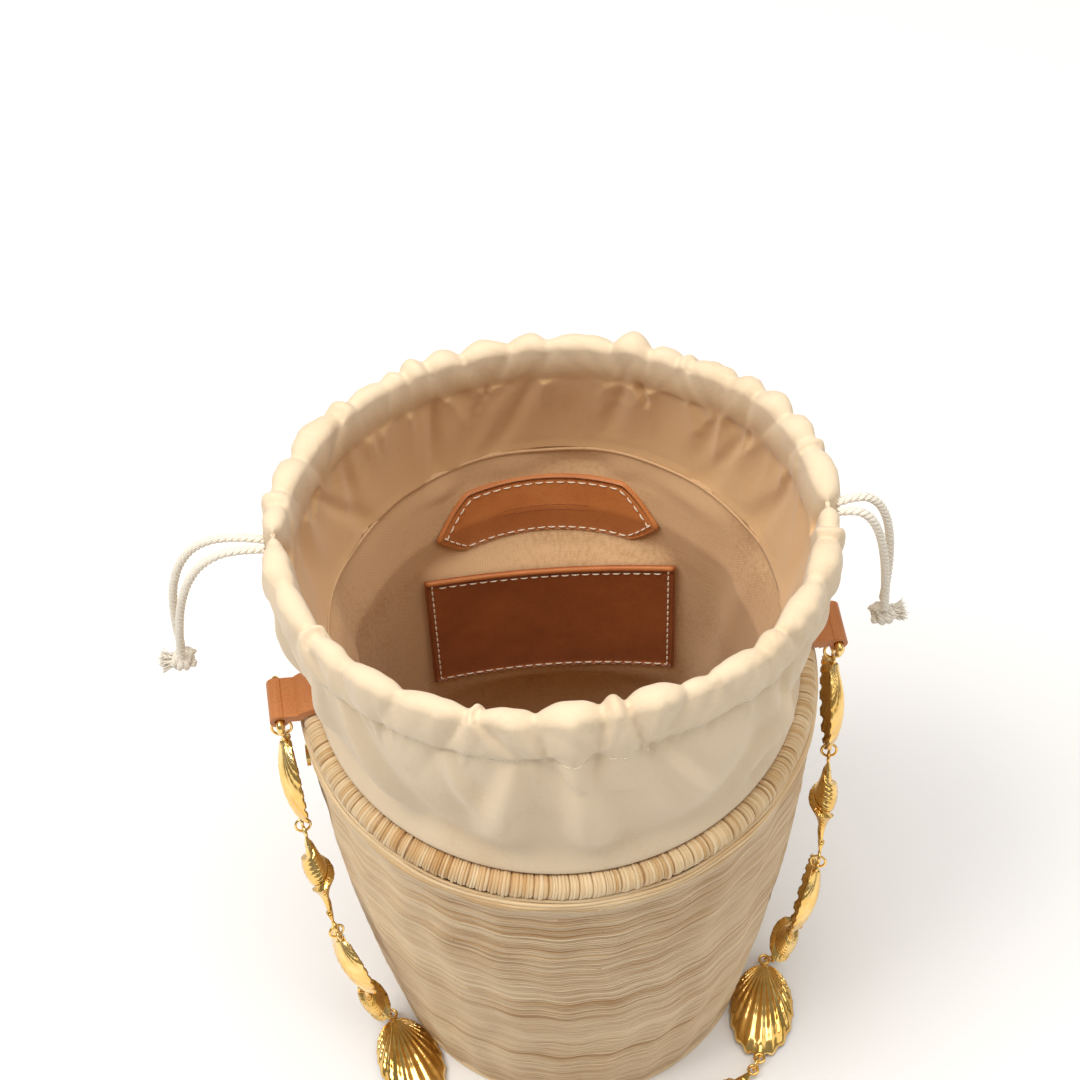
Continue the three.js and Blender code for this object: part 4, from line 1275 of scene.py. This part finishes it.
def ring_shape(radius, wire):
    """A jump ring in its own X and Z plane, cut once as real ones are."""
    gap = 0.05
    t = np.linspace(gap, TAU - gap, 40)
    ring = np.stack([radius * np.sin(t), 0 * t, -radius * np.cos(t)], -1)[None]
    out = unit(ring)
    side = np.broadcast_to(np.array([0, 1.0, 0]), ring.shape)
    return tubes(ring, side, out, wire / 2, wire / 2, 10, closed=False)


def body_of_shell(i):
    return f"shell_{i + 1:02d}"


def body_of_ring(i):
    if i < SIDE_SHELLS:
        return f"strap_left_{i + 1}"
    if i <= SHELLS - SIDE_SHELLS:
        return "strap_front"
    return f"strap_right_{SHELLS - i + 1}"


def make_strap(mats):
    centres = ring_centres()
    shapes = {"cockle": merge([cockle_shape()] + eye_shapes()),
              "slim": merge([cockle_shape(12.3 * MM)] + eye_shapes()),
              "whelk": merge([whelk_shape()] + eye_shapes())}
    for i in range(SHELLS):
        lying = SIDE_SHELLS <= i < SHELLS - SIDE_SHELLS
        ends = [eye_place(centres, i, 1), eye_place(centres, i + 1, -1)]
        if i > SHELLS / 2:
            ends.reverse()
        middle = (ends[0] + ends[1]) / 2
        face = np.array([0, 0, 1.0]) if lying else unit(middle * np.array([1, 1, 0]))
        axes = chain_frame(unit(ends[0] - ends[1]), face)
        kind = "cockle" if i % 2 == 0 else "whelk"
        # the two cockles that lie beside the basket's foot are a little slimmer
        beside_foot = i in (SIDE_SHELLS, SHELLS - SIDE_SHELLS - 1)
        verts, faces = shapes["slim" if beside_foot else kind]
        flip = 1 if i < SHELLS / 2 else -1
        local = verts * np.array([1, flip, 1])
        faces = faces if flip > 0 else [f[:, ::-1] for f in faces]
        obj = make_mesh(f"{kind}_{i + 1:02d}", local @ axes.T + middle, faces, mats["gold"])
        finish_piece(obj, body_of_shell(i), [f"shell_{i + 1:02d}_{kind}"])
    for i in range(SHELLS + 1):
        is_end = i in (0, SHELLS)
        centre = centres[i]
        radius = END_RING if is_end else FOOT_RING if is_foot(i) else RING
        before = centres[i if is_foot(i) and i > SIDE_SHELLS else max(i - 1, 0)]
        after = centres[i if i == SIDE_SHELLS else min(i + 1, SHELLS)]
        if SIDE_SHELLS < i < SHELLS - SIDE_SHELLS:
            face = np.array([0, 0, 1.0])
        elif is_end or is_foot(i):
            face = np.array([1.0, 0, 0])
        else:
            face = centre * np.array([1, 1, 0])
        axes = chain_frame(unit(after - before), face)
        verts, faces = ring_shape(radius, RING_WIRE)
        obj = make_mesh(f"ring_{i + 1:02d}", verts @ axes.T + centre, faces, mats["gold"])
        finish_piece(obj, body_of_ring(i), [f"jump_ring_{i + 1:02d}"])


def make_d_rings(mats):
    for side, name in ((-1, "left"), (1, "right")):
        a = np.linspace(0, math.pi, 40)
        curve = np.stack([0 * a, D_RADIUS * np.cos(a), -D_RADIUS * np.sin(a)], -1)
        straight = np.stack([0 * a, np.linspace(-D_RADIUS, D_RADIUS, 40), 0 * a], -1)[1:-1]
        ring = np.concatenate([curve, straight])
        ring = ring + np.array([side * D_BAR_X, 0, D_BAR_Z])
        ring = round_corners(ring)[None]
        face = np.broadcast_to(np.array([1.0, 0, 0]), ring.shape)
        along = unit(np.roll(ring, -1, 1) - np.roll(ring, 1, 1))
        out = np.cross(along, face)
        verts, faces = tubes(ring, face, out, D_WIRE / 2, D_WIRE / 2, 14)
        obj = make_mesh(f"d_ring_{name}_wire", verts, faces, mats["gold"])
        finish_piece(obj, "root", [f"d_ring_{name}"])


def round_corners(loop, passes=3):
    for _ in range(passes):
        loop = (np.roll(loop, 1, 0) + 2 * loop + np.roll(loop, -1, 0)) / 4
    return loop


def dress_cad_nodes(mats):
    for node in ("tab_left", "tab_right"):
        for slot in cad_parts[node].material_slots:
            slot.material = mats["tan"]
    for node in ("rivet_left", "rivet_right"):
        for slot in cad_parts[node].material_slots:
            slot.material = mats["gold"]


# ---------- stage ----------
def make_stage():
    data = bpy.data.meshes.new("floor")
    size = 6.0
    data.from_pydata([(-size, -size, 0), (size, -size, 0), (size, size, 0), (-size, size, 0)], [],
                     [(0, 1, 2, 3)])
    floor = bpy.data.objects.new("floor", data)
    bpy.context.collection.objects.link(floor)
    floor.location.z = -0.0002
    n = Nodes("pale_floor")
    data.materials.append(n.done(color=(0.93, 0.93, 0.93), rough=0.9, specular=0.1))
    world = bpy.data.worlds.new("studio")
    world.use_nodes = True
    world.node_tree.nodes["Background"].inputs["Color"].default_value = (1, 0.99, 0.975, 1)
    world.node_tree.nodes["Background"].inputs["Strength"].default_value = 0.28
    bpy.context.scene.world = world
    lights = [("key", (-0.75, -0.15, 1.6), 0.8, 17), ("fill", (1.2, -0.6, 1.1), 1.1, 4),
              ("top", (0.15, -0.05, 1.75), 1.2, 19)]
    for name, place, size, power in lights:
        lamp = bpy.data.lights.new(name, "AREA")
        lamp.size = size
        lamp.energy = power
        lamp.color = (1, 0.97, 0.93)
        obj = bpy.data.objects.new(name, lamp)
        obj.location = place
        obj.rotation_euler = (Vector((0, 0, 0.18)) - Vector(place)).to_track_quat("-Z", "Y").to_euler()
        bpy.context.collection.objects.link(obj)
    view = bpy.context.scene.view_settings
    view.view_transform = "Standard"
    view.look = "None"


make_camera()
mats = make_materials()
make_drawstrings(mats)
make_wall(mats)
make_base(mats)
make_rim(mats)
make_collar(mats)
make_lining(mats)
make_pocket(mats)
make_label(mats)
make_strap(mats)
make_d_rings(mats)
dress_cad_nodes(mats)
make_stage()
